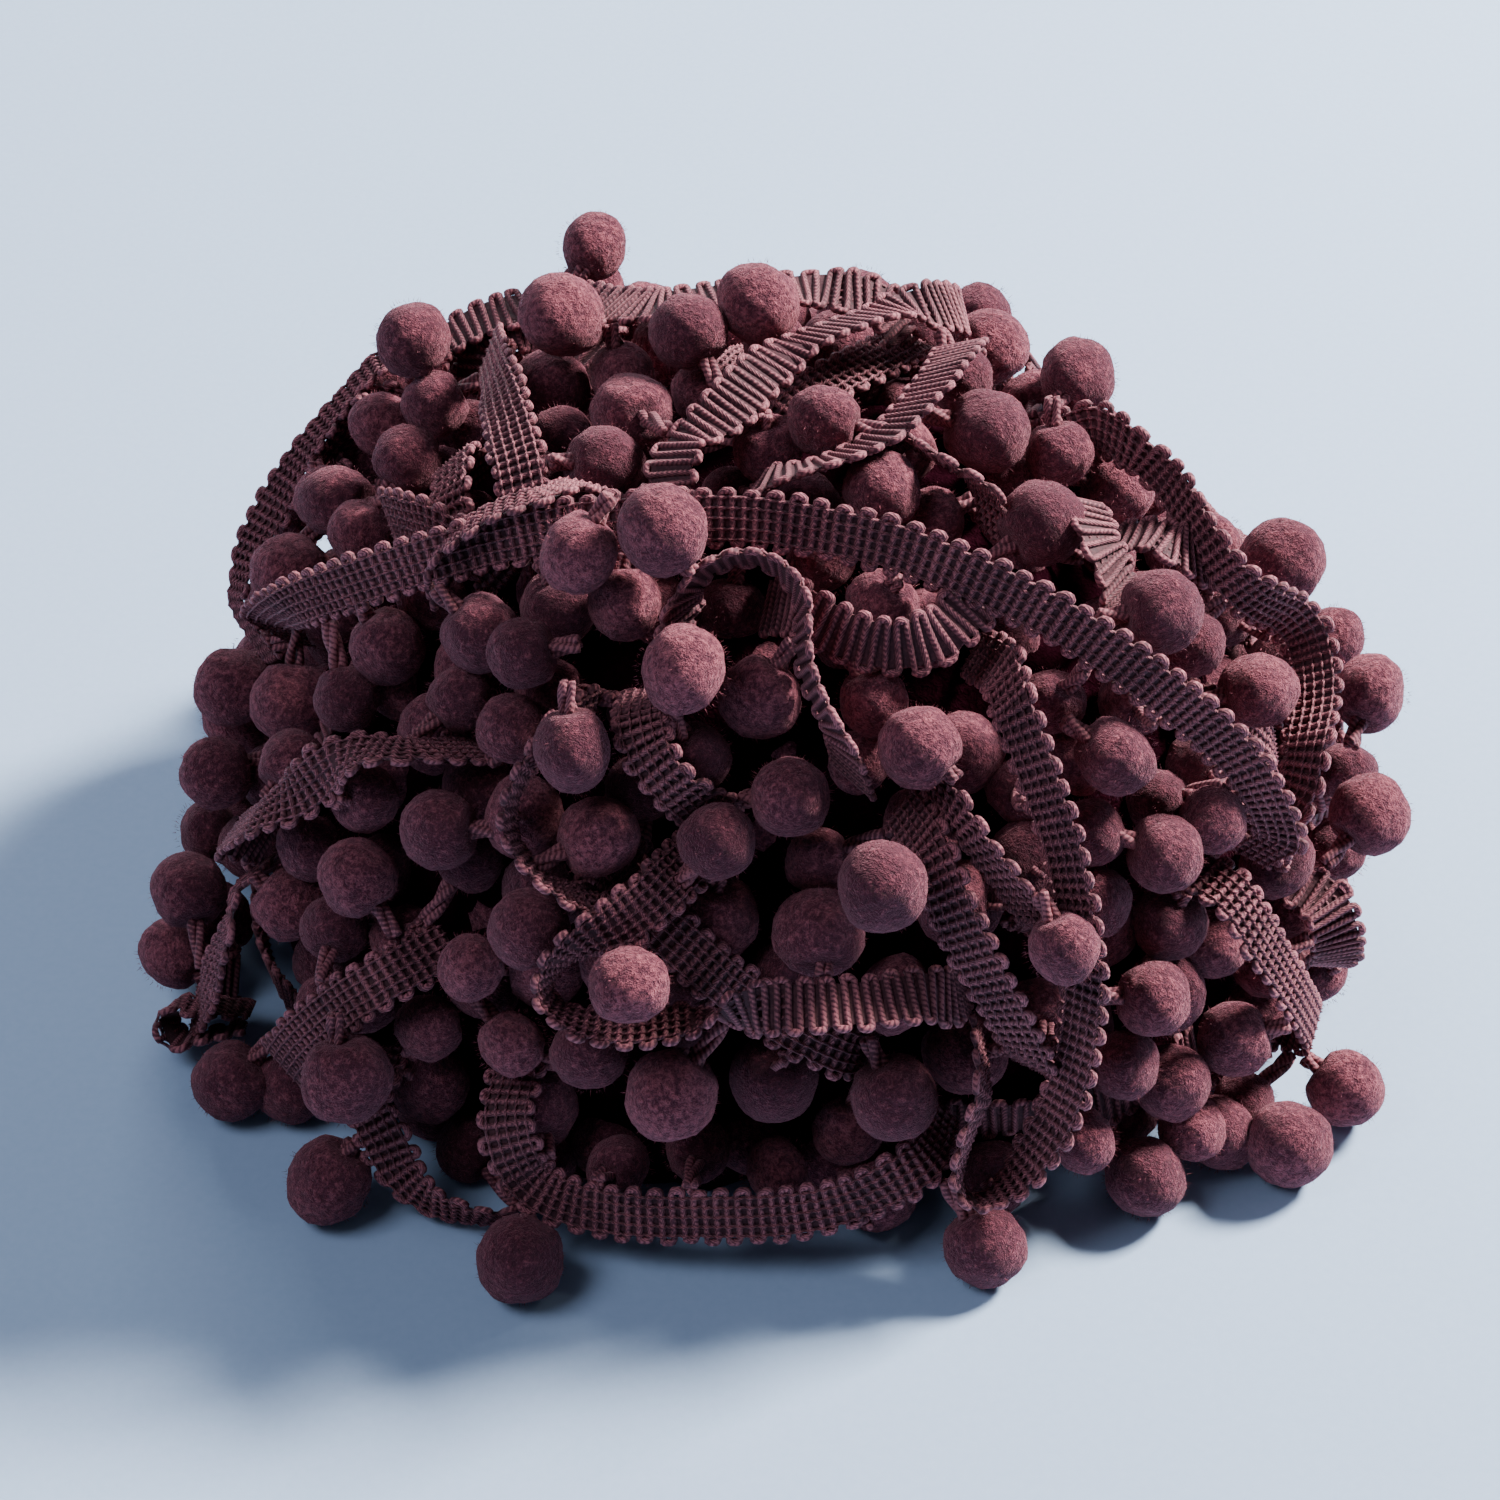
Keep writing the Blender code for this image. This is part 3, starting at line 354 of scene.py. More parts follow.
# the heap's outline in the same frame: nothing that fills the heap shows outside it
OUTLINE = [(549, 270), (562, 245), (588, 237), (615, 249), (625, 280), (660, 285), (720, 277), (788, 277),
           (870, 274), (915, 292), (998, 285), (1023, 322), (1025, 352), (1058, 348), (1092, 357), (1107, 393),
           (1125, 425), (1160, 445), (1185, 452), (1205, 500), (1225, 535), (1275, 540), (1300, 555), (1318, 595),
           (1350, 640), (1395, 648), (1402, 690), (1388, 720), (1402, 795), (1395, 840), (1365, 855), (1365, 900),
           (1358, 960), (1335, 975), (1328, 1035), (1372, 1042), (1377, 1080), (1358, 1110), (1320, 1110),
           (1332, 1155), (1305, 1185), (1200, 1185), (1155, 1197), (1118, 1185), (1102, 1155), (1050, 1185),
           (1035, 1230), (990, 1275), (945, 1222), (840, 1233), (720, 1267), (585, 1230), (570, 1268), (525, 1290),
           (488, 1275), (488, 1238), (450, 1200), (390, 1185), (322, 1230), (285, 1170), (225, 1118), (210, 1072),
           (172, 1042), (150, 960), (172, 855), (202, 780), (202, 645), (225, 622), (240, 555), (262, 495),
           (300, 435), (360, 360), (375, 315), (405, 300), (442, 315), (495, 300), (540, 292)]

# ------------------------------------------------------------------ smaller runs between them
# the first number is the face that looks out, as in GRID_OUT
SMALL = {
    "braid_small_ladder": (-1, [
        Bend(336.7, 63.1, -2.7, -6), Bend(332.2, 61.7, -1.4, -1), Bend(329.6, 60.2, -1.0, 4),
        Bend(328.5, 58.5, -1.4, 3), Bend(328.8, 56.7, -3.1, -4)]),
    "braid_small_fan": (-1, [
        Bend(343.3, 56.4, -3.0, -11), Bend(342.7, 54.9, -1.9, -3), Bend(343.8, 53.1, -1.9, -5),
        Bend(347.2, 50.4, -3.1, -10)]),
    "braid_small_tuck": (-1, [
        Bend(273.9, 65.2, -4.1, -25), Bend(280.9, 62.6, -3.3, -30), Bend(288.3, 60.7, -2.9, -27),
        Bend(295.7, 60.4, -2.6, -16), Bend(301.3, 61.4, -2.4, 2), Bend(307.9, 62.6, -3.3, 3)]),
    "braid_small_edge_right": (1, [
        Bend(291.7, 47.5, -3.4, -65), Bend(292.8, 44.6, -1.8, -68), Bend(295.1, 41.2, -1.6, -70),
        Bend(297.2, 38, -2.0, -70), Bend(299.8, 34.9, -3.6, -66)]),
    "braid_small_left_thin": (1, [
        Bend(205.4, 21.5, -1.7, -17), Bend(207.3, 18.8, -0.2, -26), Bend(206.2, 15, 0.0, -20),
        Bend(204.5, 10.6, 0.3, -10), Bend(201.8, 5.7, 0.3, -21), Bend(198.3, 1.3, 0.3, -26)]),
    "braid_small_foot_left": (1, [
        Bend(227.7, 11.1, -1.5, 32), Bend(230.1, 8.8, -0.5, 31), Bend(232.1, 6, -0.1, 17),
        Bend(235, 3.9, 0.2, -6), Bend(238.4, 3.2, 0.2, -22), Bend(241.4, 2.2, -0.7, -25)]),
    "braid_small_crown_dark": (1, [
        Bend(344.1, 89.5, -7.5, -13), Bend(36.6, 84.6, -6.9, -12), Bend(43.7, 78, -6.9, -13),
        Bend(52.4, 70, -7.4, -15)]),
    "braid_small_crown_edge": (1, [
        Bend(320.1, 77.5, -3.1, -129), Bend(319.1, 74.3, -2.0, -129), Bend(320.8, 72.1, -2.1, -127),
        Bend(324.1, 69.7, -3.3, -125)]),
    "braid_small_right_low": (-1, [
        Bend(337.2, 19.7, -3.0, -43), Bend(336.8, 18.3, -1.8, -38), Bend(337, 16.2, -1.5, -44),
        Bend(337.8, 13.7, -1.8, -60), Bend(340.9, 9.2, -3.2, -71)]),
    "braid_small_left_tuck": (1, [
        Bend(186.3, 54.3, -4.3, -52), Bend(193.5, 56.8, -3.7, -52), Bend(198.9, 58.3, -3.6, -44),
        Bend(203.4, 59.3, -4.5, -36)]),
    "braid_small_left_dim": (1, [
        Bend(192.5, 59.8, -5.5, 4), Bend(188, 60.7, -5.1, 7), Bend(180.2, 60.7, -5.5, 6)]),
    "braid_small_crown_back": (-1, [
        Bend(142.6, 55, -2.0, -68), Bend(139.7, 56.8, -2.6, -65), Bend(136.5, 58.3, -3.5, -55),
        Bend(135.5, 61.5, -4.8, -47)]),
    "braid_small_left_back": (1, [
        Bend(159.5, 42.1, -0.9, -145), Bend(157.5, 43.8, -0.6, -148), Bend(155.6, 45.6, -0.2, -148),
        Bend(153.6, 47.5, -0.0, -146)]),
    "braid_small_band_rope": (1, [
        Bend(209.7, 58.1, -0.6, 31), Bend(212.7, 60.8, 0.9, 35), Bend(215.5, 63.8, 1.2, 38),
        Bend(218.5, 66.4, 0.5, 35), Bend(218.7, 69.1, -1.6, 22)]),
}


# ------------------------------------------------------------------ lines and frames
def spline(keys, fine=24):
    keys = np.vstack([2 * keys[0] - keys[1], keys, 2 * keys[-1] - keys[-2]])
    out = []
    ts = np.linspace(0.0, 1.0, fine, endpoint=False)[:, None]
    for i in range(1, len(keys) - 2):
        p0, p1, p2, p3 = keys[i - 1:i + 3]
        out.append(0.5 * (2 * p1 + (p2 - p0) * ts + (2 * p0 - 5 * p1 + 4 * p2 - p3) * ts ** 2
                          + (3 * p1 - p0 - 3 * p2 + p3) * ts ** 3))
    out.append(keys[-2:-1])
    return np.vstack(out)


def run_frames(keys, step=0.6 * MM):
    """Even samples of a run: middle, along, across, face.  keys: x y z turn(radians)."""
    line = spline(keys)
    span = np.append(0.0, np.cumsum(np.linalg.norm(np.diff(line[:, :3], axis=0), axis=1)))
    even = np.linspace(0.0, span[-1], max(4, int(span[-1] / step)))
    rows = np.stack([np.interp(even, span, line[:, k]) for k in range(4)], axis=1)
    middle, turn = rows[:, :3], rows[:, 3]
    along = np.gradient(middle, axis=0)
    along /= np.linalg.norm(along, axis=1)[:, None]
    n = np.array([outward(p) for p in middle])
    n -= along * np.sum(n * along, axis=1)[:, None]
    n /= np.linalg.norm(n, axis=1)[:, None]
    w = np.cross(along, n)
    c, s = np.cos(turn)[:, None], np.sin(turn)[:, None]
    return even, middle, along, w * c + n * s, n * c - w * s


def curl_keys(x, y, z, radius, start, end, count=9):
    """A loop in the picture plane about the point seen at a pixel, z above the floor."""
    v = ray_at(x, y)
    middle = EYE + v * ((z - EYE[2]) / v[2])
    out = []
    for a in np.radians(np.linspace(start, end, count)):
        out.append(np.append(middle + radius * (VRIGHT * math.cos(a) + VUP * math.sin(a)), 0.0))
    return out


def dive(keys, down=6.0 * MM, on=2):
    """Carry both ends of a run on and down into the heap."""
    out = [k for k in keys]
    for end in (0, -1):
        a, b = keys[end], keys[1 if end == 0 else -2]
        ahead = a[:3] - b[:3]
        ahead /= np.linalg.norm(ahead)
        inward = -outward(a[:3])
        more = []
        for k in range(1, on + 1):
            p = a[:3] + ahead * 2.2 * MM * k + inward * down * (k / on) ** 1.3
            more.append(np.append(p, a[3]))
        out = (more[::-1] + out) if end == 0 else (out + more)
    return np.array(out)


# ------------------------------------------------------------------ mesh helpers
def new_mesh(name, verts, tris=None, quads=None, uvs=None, tone=None):
    mesh = bpy.data.meshes.new(name)
    verts = np.asarray(verts, dtype=np.float32)
    mesh.vertices.add(len(verts))
    mesh.vertices.foreach_set("co", verts.ravel())
    polys = []
    if tris is not None and len(tris):
        polys.append((np.asarray(tris, dtype=np.int32), 3))
    if quads is not None and len(quads):
        polys.append((np.asarray(quads, dtype=np.int32), 4))
    loops = np.concatenate([p.ravel() for p, _ in polys])
    sizes = np.concatenate([np.full(len(p), k, dtype=np.int32) for p, k in polys])
    starts = np.concatenate([[0], np.cumsum(sizes)[:-1]]).astype(np.int32)
    mesh.loops.add(len(loops))
    mesh.loops.foreach_set("vertex_index", loops)
    mesh.polygons.add(len(sizes))
    mesh.polygons.foreach_set("loop_start", starts)
    mesh.polygons.foreach_set("loop_total", sizes)
    mesh.polygons.foreach_set("use_smooth", np.ones(len(sizes), dtype=bool))
    if uvs is not None:
        layer = mesh.uv_layers.new(name="ply")
        layer.data.foreach_set("uv", np.asarray(uvs, dtype=np.float32)[loops].ravel())
    if tone is not None:
        shade = mesh.attributes.new("tone", "FLOAT", "POINT")
        shade.data.foreach_set("value", np.asarray(tone, dtype=np.float32))
    mesh.update()
    mesh.validate()
    return mesh


class Pile:
    """Gathers bits of mesh into one."""

    def __init__(self):
        self.v, self.q, self.t, self.uv, self.tone, self.n = [], [], [], [], [], 0

    def add(self, verts, quads=None, tris=None, uv=None, tone=0.7):
        if quads is not None and len(quads):
            self.q.append(np.asarray(quads) + self.n)
        if tris is not None and len(tris):
            self.t.append(np.asarray(tris) + self.n)
        self.v.append(np.asarray(verts))
        self.uv.append(np.zeros((len(verts), 2)) if uv is None else uv)
        self.tone.append(np.broadcast_to(np.asarray(tone, dtype=float), (len(verts),)))
        self.n += len(verts)

    def tris_count(self):
        return sum(2 * len(q) for q in self.q) + sum(len(t) for t in self.t)

    def mesh(self, name):
        verts = np.vstack(self.v)
        verts[:, 2] = np.maximum(verts[:, 2], 0.05 * MM)          # nothing goes through the floor
        return new_mesh(name, verts + CENTRE,
                        np.vstack(self.t) if self.t else None,
                        np.vstack(self.q) if self.q else None, np.vstack(self.uv),
                        np.concatenate(self.tone))


def tube(pile, pts, radius, hint, sides, closed_ends=True, squash=1.0, tone=0.7, painted_shade=0.0):
    """Tube along points; hint is a vector near its cross direction at each point.
    tone is how light the yarn is drawn, with uneven dye and painted shade together; the last argument darkens the sides
    away from the hint, as painted shade in the crevices between ribs."""
    pts = np.asarray(pts)
    n = len(pts)
    t = np.gradient(pts, axis=0)
    t /= np.maximum(np.linalg.norm(t, axis=1)[:, None], 1e-12)
    h = hint - t * np.sum(hint * t, axis=1)[:, None]
    h /= np.maximum(np.linalg.norm(h, axis=1)[:, None], 1e-12)
    b = np.cross(t, h)
    r = np.broadcast_to(np.asarray(radius, dtype=float), (n,))
    ang = np.arange(sides) * 2 * math.pi / sides
    ring = (pts[:, None, :]
            + r[:, None, None] * (np.cos(ang)[None, :, None] * h[:, None, :] * squash
                                  + np.sin(ang)[None, :, None] * b[:, None, :]))
    span = np.append(0.0, np.cumsum(np.linalg.norm(np.diff(pts, axis=0), axis=1))) / MM
    uv = np.stack([np.repeat(span, sides), np.tile(np.arange(sides) / sides, n)], axis=1)
    i = np.arange(n - 1)[:, None] * sides
    k = np.arange(sides)[None, :]
    k2 = (np.arange(sides)[None, :] + 1) % sides
    quads = np.stack([i + k, i + k2, i + sides + k2, i + sides + k], axis=-1).reshape(-1, 4)
    verts = ring.reshape(-1, 3)
    shade = (np.broadcast_to(np.asarray(tone, dtype=float), (n,))[:, None]
             - np.broadcast_to(np.asarray(painted_shade, dtype=float), (n,))[:, None] * (0.5 - 0.5 * np.cos(2 * ang))[None, :])
    shade = shade.reshape(-1)
    tris = []
    if closed_ends:
        verts = np.vstack([verts, pts[:1], pts[-1:]])
        uv = np.vstack([uv, [[0, 0]], [[span[-1], 0]]])
        shade = np.append(shade, [shade[0], shade[-1]])
        a, z = n * sides, n * sides + 1
        tris = [(a, (j + 1) % sides, j) for j in range(sides)]
        tris += [(z, (n - 1) * sides + j, (n - 1) * sides + (j + 1) % sides) for j in range(sides)]
    pile.add(verts, quads, tris, uv, shade)


# ------------------------------------------------------------------ the braid
class Run:
    """One outer run: its even samples, and points for keeping other things off it."""

    def __init__(self, name, keys, grid, detail=1.0, way=None):
        self.name, self.grid, self.detail = name, grid, detail
        self.s, self.m, self.t, self.w, self.n = run_frames(keys)
        if way is not None:             # a curl about one direction
            self.w = way - self.t * (self.t @ way)[:, None]
            self.w /= np.linalg.norm(self.w, axis=1)[:, None]
            self.n = np.cross(self.w, self.t)
        self.length = self.s[-1]
        low = self.m[:, 2] - np.abs(self.w[:, 2]) * BRAID_WIDTH / 2 - 0.9 * MM
        lift = np.maximum(0.15 * MM - low, 0.0)
        ease = np.exp(-0.5 * (np.arange(-8, 9) / 3.5) ** 2)
        soft = np.convolve(np.pad(lift, 8, mode="edge"), ease / ease.sum(), mode="valid")
        self.m[:, 2] += np.maximum(lift, soft)

    def at(self, s, u, h):
        """Point at length s, u across and h out from the face."""
        m = np.stack([np.interp(s, self.s, self.m[:, k]) for k in range(3)], axis=-1)
        w = np.stack([np.interp(s, self.s, self.w[:, k]) for k in range(3)], axis=-1)
        n = np.stack([np.interp(s, self.s, self.n[:, k]) for k in range(3)], axis=-1)
        return m + w * np.asarray(u)[:, None] + n * np.asarray(h)[:, None], n, w

    def samples(self):
        every = slice(0, None, 3)
        out = []
        for share in (-0.92, -0.46, 0.0, 0.46, 0.92):
            out.append(self.m[every] + self.w[every] * share * BRAID_WIDTH / 2)
        return np.vstack(out)

    def edges(self):
        """Edge points with the outward direction of each."""
        every = slice(2, -2, 2)
        out, way, face = [], [], []
        for side in (-1.0, 1.0):
            out.append(self.m[every] + self.w[every] * side * BRAID_WIDTH / 2)
            way.append(self.w[every] * side)
            face.append(self.n[every])
        return np.vstack(out), np.vstack(way), np.vstack(face)


def weave(pile, run, rng):
    """Weft cord back and forth, its turns like beads, and warp threads on one face."""
    turn_r = PITCH / 4
    cycles = max(1, int(run.length / PITCH))
    fine = run.detail >= 1.0
    cross_n, turn_n, sides = (5, 5, 6) if fine else (2, 3, 5)
    hook = 0.42 * MM                       # how far the turn stands past the last warp
    s_list, u_list, r_list, flat = [], [], [], []
    for c in range(cycles):
        s0 = (c + 0.25) * PITCH * (run.length / (cycles * PITCH))
        jit = rng.normal(0.0, 0.05, 4) * MM
        wide = BRAID_WIDTH / 2 - WEFT - hook + rng.normal(0.0, 0.12) * MM
        for way in (1.0, -1.0):
            start = s0 if way > 0 else s0 + PITCH / 2
            us = np.linspace(-wide * way, wide * way, cross_n)
            s_list.append(np.full(cross_n, start) + jit[0] + 0.10 * MM * np.sin(us / wide * 1.5))
            u_list.append(us)
            r_list.append(np.full(cross_n, 1.0))
            flat.append(np.full(cross_n, 1.0))
            a = np.linspace(0.0, math.pi, turn_n + 2)[1:-1]
            round_ = np.sign(np.cos(a)) * np.abs(np.cos(a)) ** 0.80
            s_list.append(start + turn_r - turn_r * round_ + jit[1])
            u_list.append(way * (wide + hook * np.sin(a) ** 0.70))
            r_list.append(1.0 + 0.12 * np.sin(a))
            flat.append(np.cos(a) ** 2)
    s = np.clip(np.concatenate(s_list), 0.0, run.length)
    u = np.concatenate(u_list)
    r = np.concatenate(r_list)
    flat = np.concatenate(flat)
    pts, n, w = run.at(s, u, np.zeros(len(s)))
    wob = 1.0 + 0.05 * np.sin(s * 2900.0 + 1.3) + rng.normal(0.0, 0.02, len(s))
    # weft tone: uneven along the cord, and lighter round the bead turns
    weft_tone = 0.80 + 0.10 * np.sin(s * 410.0 + run.length * 90.0) + 0.18 * (1.0 - flat)
    # painted shade: the weft drawn darker at its sides, in the crevices between ribs, and less so round the turns
    tube(pile, pts, WEFT * r * wob, n, sides, tone=weft_tone, painted_shade=0.10 + 0.55 * flat)
    # warp threads over the ribs of one face, drawn darker where they dip between the ribs: painted shade
    face = run.grid
    ribs = int(round(cycles * 2))
    step = run.length / (ribs * 2)
    k = np.arange(ribs * 2 + 1)
    base = (k * step)
    high = k % 2 == 1
    over = np.where(high, 0.90, 0.10) * WEFT
    for j in range(WARPS):
        u0 = (j - (WARPS - 1) / 2) * (BRAID_WIDTH - 2.3 * MM) / (WARPS - 1)
        uu = u0 + rng.normal(0.0, 0.04, len(k)) * MM
        pts, n, w = run.at(np.clip(base, 0, run.length), uu, face * (over + WARP * 0.5))
        tube(pile, pts, WARP * (1.15 if fine else 1.3), n * face, 3, closed_ends=False,
             tone=np.where(high, 1.0, 0.25))
    # the web that closes the gaps between ribs, drawn near-black: painted shade in the gaps
    k = np.linspace(0.0, run.length, max(4, int(run.length / (2.4 * MM))))
    rows = []
    for side in (-1.0, 1.0):
        p, n, w = run.at(k, np.full(len(k), side * (BRAID_WIDTH / 2 - 1.0 * MM)), np.full(len(k), 0.0))
        rows.append(p)
    verts = np.vstack(rows)
    m = len(k)
    i = np.arange(m - 1)
    pile.add(verts, np.stack([i, i + 1, i + 1 + m, i + m], axis=1), tone=0.12)


# ------------------------------------------------------------------ pompoms
def unit_ball(level):
    bm = bmesh.new()
    bmesh.ops.create_icosphere(bm, subdivisions=level, radius=1.0)
    v = np.array([p.co[:] for p in bm.verts])
    f = np.array([[q.index for q in p.verts] for p in bm.faces])
    bm.free()
    return v, f


def felted(v, seed, fine):
    """A ball's surface, uneven as cut pile is: broad lumps, then clumps of fibre."""
    out = np.empty(len(v))
    off = Vector((seed * 7.31, seed * 3.17, seed * 1.93))
    for i, p in enumerate(v):
        q = Vector(p)
        out[i] = (0.080 * noise.noise(q * 1.15 + off)
                  + 0.036 * noise.noise(q * 3.2 + off)
                  + (0.022 * noise.noise(q * 9.5 + off) + 0.012 * noise.noise(q * 19.0 + off) if fine else 0.0))
    return v * (1.0 + out)[:, None]


def basis_to(z):
    z = z / np.linalg.norm(z)
    x = np.cross([0.0, 0.0, 1.0] if abs(z[2]) < 0.9 else [1.0, 0.0, 0.0], z)
    x /= np.linalg.norm(x)
    return np.stack([x, np.cross(z, x), z], axis=1)


class Pom:
    def __init__(self, c, r, neck=None, name=None, tier=0, long=1.0):
        self.c, self.r, self.neck, self.name, self.tier, self.long = np.array(c), r, neck, name, tier, long
        self.root = None
        self.tone = 0.5


def ball_into(pile, pom, shapes, rng):
    v, f = shapes[int(rng.integers(len(shapes)))]
    turn = basis_to(rng.normal(size=3))
    v = v @ turn.T
    z = pom.neck / np.linalg.norm(pom.neck)
    along = v @ z
    v = v + np.outer(along, z) * (pom.long - 1.0)
    # drawn in round the neck
    near = np.clip((along - 0.80) / 0.20, 0.0, 1.0)
    v = v - np.outer(near ** 1.5 * 0.16, z)
    # pressed a little by what is round it
    side = np.cross(z, rng.normal(size=3))
    side /= np.linalg.norm(side)
    v = v * (1.0 + 0.0 * along)[:, None] - np.outer((v @ side) * rng.uniform(0.0, 0.15), side)
    verts = pom.c + v * pom.r
    # the felt drawn darker round the neck, where the ball is drawn in: painted shade
    pile.add(verts, None, f, v[:, :2] * 5.0, pom.tone - 0.25 * near)
    return verts


def fuzz_into(pile, pom, count, rng):
    """Single fibre ends standing off the felt."""
    d = rng.normal(size=(count, 3))
    d /= np.linalg.norm(d, axis=1)[:, None]
    lean = rng.normal(0.0, 0.5, size=(count, 3))
    tip = d + lean * 0.6
    tip /= np.linalg.norm(tip, axis=1)[:, None]
    side = np.cross(d, rng.normal(size=(count, 3)))
    side /= np.linalg.norm(side, axis=1)[:, None]
    root = pom.c + d * pom.r * 0.985
    length = rng.uniform(0.28, 0.78, count)[:, None] * MM
    wide = 0.034 * MM
    a, b = root - side * wide, root + side * wide
    c = root + tip * length
    verts = np.stack([a, b, c], axis=1).reshape(-1, 3)
    pile.add(verts, None, np.arange(len(verts)).reshape(-1, 3),
             tone=np.repeat(pom.tone + rng.uniform(0.0, 0.45, count), 3))


def neck_into(pile, pom, rng, fine):
    """Twisted yarns from the braid's edge into the ball."""
    z = pom.neck / np.linalg.norm(pom.neck)
    start = pom.c + z * pom.r * pom.long * 0.80
    end = pom.root if pom.root is not None else pom.c + z * (pom.r + 3.0 * MM)
    gap = np.linalg.norm(end - start)
    count = 9 if fine else 6
    ts = np.linspace(0.0, 1.0, count)
    bow = np.cross(end - start, rng.normal(size=3))
    bow /= max(np.linalg.norm(bow), 1e-9)
    mid = start + z * gap * 0.55
    line = (np.outer((1 - ts) ** 2, start) + np.outer(2 * ts * (1 - ts), mid) + np.outer(ts ** 2, end))
    t = np.gradient(line, axis=0)
    t /= np.linalg.norm(t, axis=1)[:, None]
    ref = basis_to(z)[:, 0]
    x = ref - t * (t @ ref)[:, None]
    x /= np.linalg.norm(x, axis=1)[:, None]
    y = np.cross(t, x)
    strands = 3 if fine else 2
    twist = 1.5 * gap / (3.2 * MM)
    for k in range(strands):
        a = ts * twist + k * 2 * math.pi / strands
        off = (0.60 * MM * (1.0 - 0.15 * ts))[:, None]
        pts = line + off * (np.cos(a)[:, None] * x + np.sin(a)[:, None] * y)
        tube(pile, pts, 0.55 * MM * (1.0 + 0.10 * np.sin(ts * 9.0 + k)), x, 6 if fine else 4, closed_ends=True)


# ------------------------------------------------------------------ materials
def node(tree, kind, **sets):
    n = tree.nodes.new(kind)
    for key, value in sets.items():
        setattr(n, key, value)
    return n


def felt_material(name, dark, mid, light, sheen, bump, grain=1.0):
    """Cut pile: mottled dye, specks of lighter fibre ends, soft sheen, and painted shade round the necks from the tone
    attribute.
    """
    mat = bpy.data.materials.new(name)
    mat.use_nodes = True
    tree = mat.node_tree
    shader = tree.nodes["Principled BSDF"]
    coord = node(tree, "ShaderNodeTexCoord")
    broad = node(tree, "ShaderNodeTexNoise")
    broad.inputs["Scale"].default_value = 140.0
    broad.inputs["Detail"].default_value = 3.0
    clump = node(tree, "ShaderNodeTexNoise")
    clump.inputs["Scale"].default_value = 1350.0 * grain
    clump.inputs["Detail"].default_value = 3.0
    clump.inputs["Roughness"].default_value = 0.6
    fibre = node(tree, "ShaderNodeTexNoise")
    fibre.inputs["Scale"].default_value = 3000.0 * grain
    fibre.inputs["Detail"].default_value = 2.0
    fibre.inputs["Distortion"].default_value = 1.2
    for tex in (broad, clump, fibre):
        tree.links.new(coord.outputs["Object"], tex.inputs["Vector"])
    mix = node(tree, "ShaderNodeMath", operation="MULTIPLY_ADD")
    tree.links.new(broad.outputs["Fac"], mix.inputs[0])
    mix.inputs[1].default_value = 0.24
    mix2 = node(tree, "ShaderNodeMath", operation="MULTIPLY_ADD")
    tree.links.new(clump.outputs["Fac"], mix2.inputs[0])
    mix2.inputs[1].default_value = 0.75
    mix2.inputs[2].default_value = -0.045
    tree.links.new(mix2.outputs[0], mix.inputs[2])
    mix3 = node(tree, "ShaderNodeMath", operation="MULTIPLY_ADD")
    tree.links.new(fibre.outputs["Fac"], mix3.inputs[0])
    mix3.inputs[1].default_value = 0.60
    tree.links.new(mix.outputs[0], mix3.inputs[2])
    # tone attribute: random from ball to ball, lighter at fibre ends, and darker round the neck as painted shade
    tone = node(tree, "ShaderNodeAttribute")
    tone.attribute_name = "tone"
    dye = node(tree, "ShaderNodeMath", operation="MULTIPLY_ADD")
    tree.links.new(tone.outputs["Fac"], dye.inputs[0])
    dye.inputs[1].default_value = 0.55
    dye.inputs[2].default_value = -0.275
    total = node(tree, "ShaderNodeMath", operation="ADD")
    tree.links.new(mix3.outputs[0], total.inputs[0])
    tree.links.new(dye.outputs[0], total.inputs[1])
    ramp = node(tree, "ShaderNodeValToRGB")
    ramp.color_ramp.elements[0].position = 0.42
    ramp.color_ramp.elements[0].color = (*dark, 1.0)
    ramp.color_ramp.elements[1].position = 1.05
    ramp.color_ramp.elements[1].color = (*light, 1.0)
    m = ramp.color_ramp.elements.new(0.74)
    m.color = (*mid, 1.0)
    tree.links.new(total.outputs[0], ramp.inputs["Fac"])
    tree.links.new(ramp.outputs["Color"], shader.inputs["Base Color"])
    rough = node(tree, "ShaderNodeMapRange")
    rough.inputs["To Min"].default_value = 0.82
    rough.inputs["To Max"].default_value = 1.0
    tree.links.new(clump.outputs["Fac"], rough.inputs["Value"])
    tree.links.new(rough.outputs["Result"], shader.inputs["Roughness"])
    height = node(tree, "ShaderNodeMath", operation="ADD")
    tree.links.new(clump.outputs["Fac"], height.inputs[0])
    tree.links.new(fibre.outputs["Fac"], height.inputs[1])
    b = node(tree, "ShaderNodeBump")
    b.inputs["Strength"].default_value = bump
    b.inputs["Distance"].default_value = 0.00045
    tree.links.new(height.outputs[0], b.inputs["Height"])
    tree.links.new(b.outputs["Normal"], shader.inputs["Normal"])
    shader.inputs["Specular IOR Level"].default_value = 0.18
    shader.inputs["Sheen Weight"].default_value = sheen
    shader.inputs["Sheen Roughness"].default_value = 0.42
    shader.inputs["Sheen Tint"].default_value = (1.0, 0.46, 0.54, 1.0)
    return mat


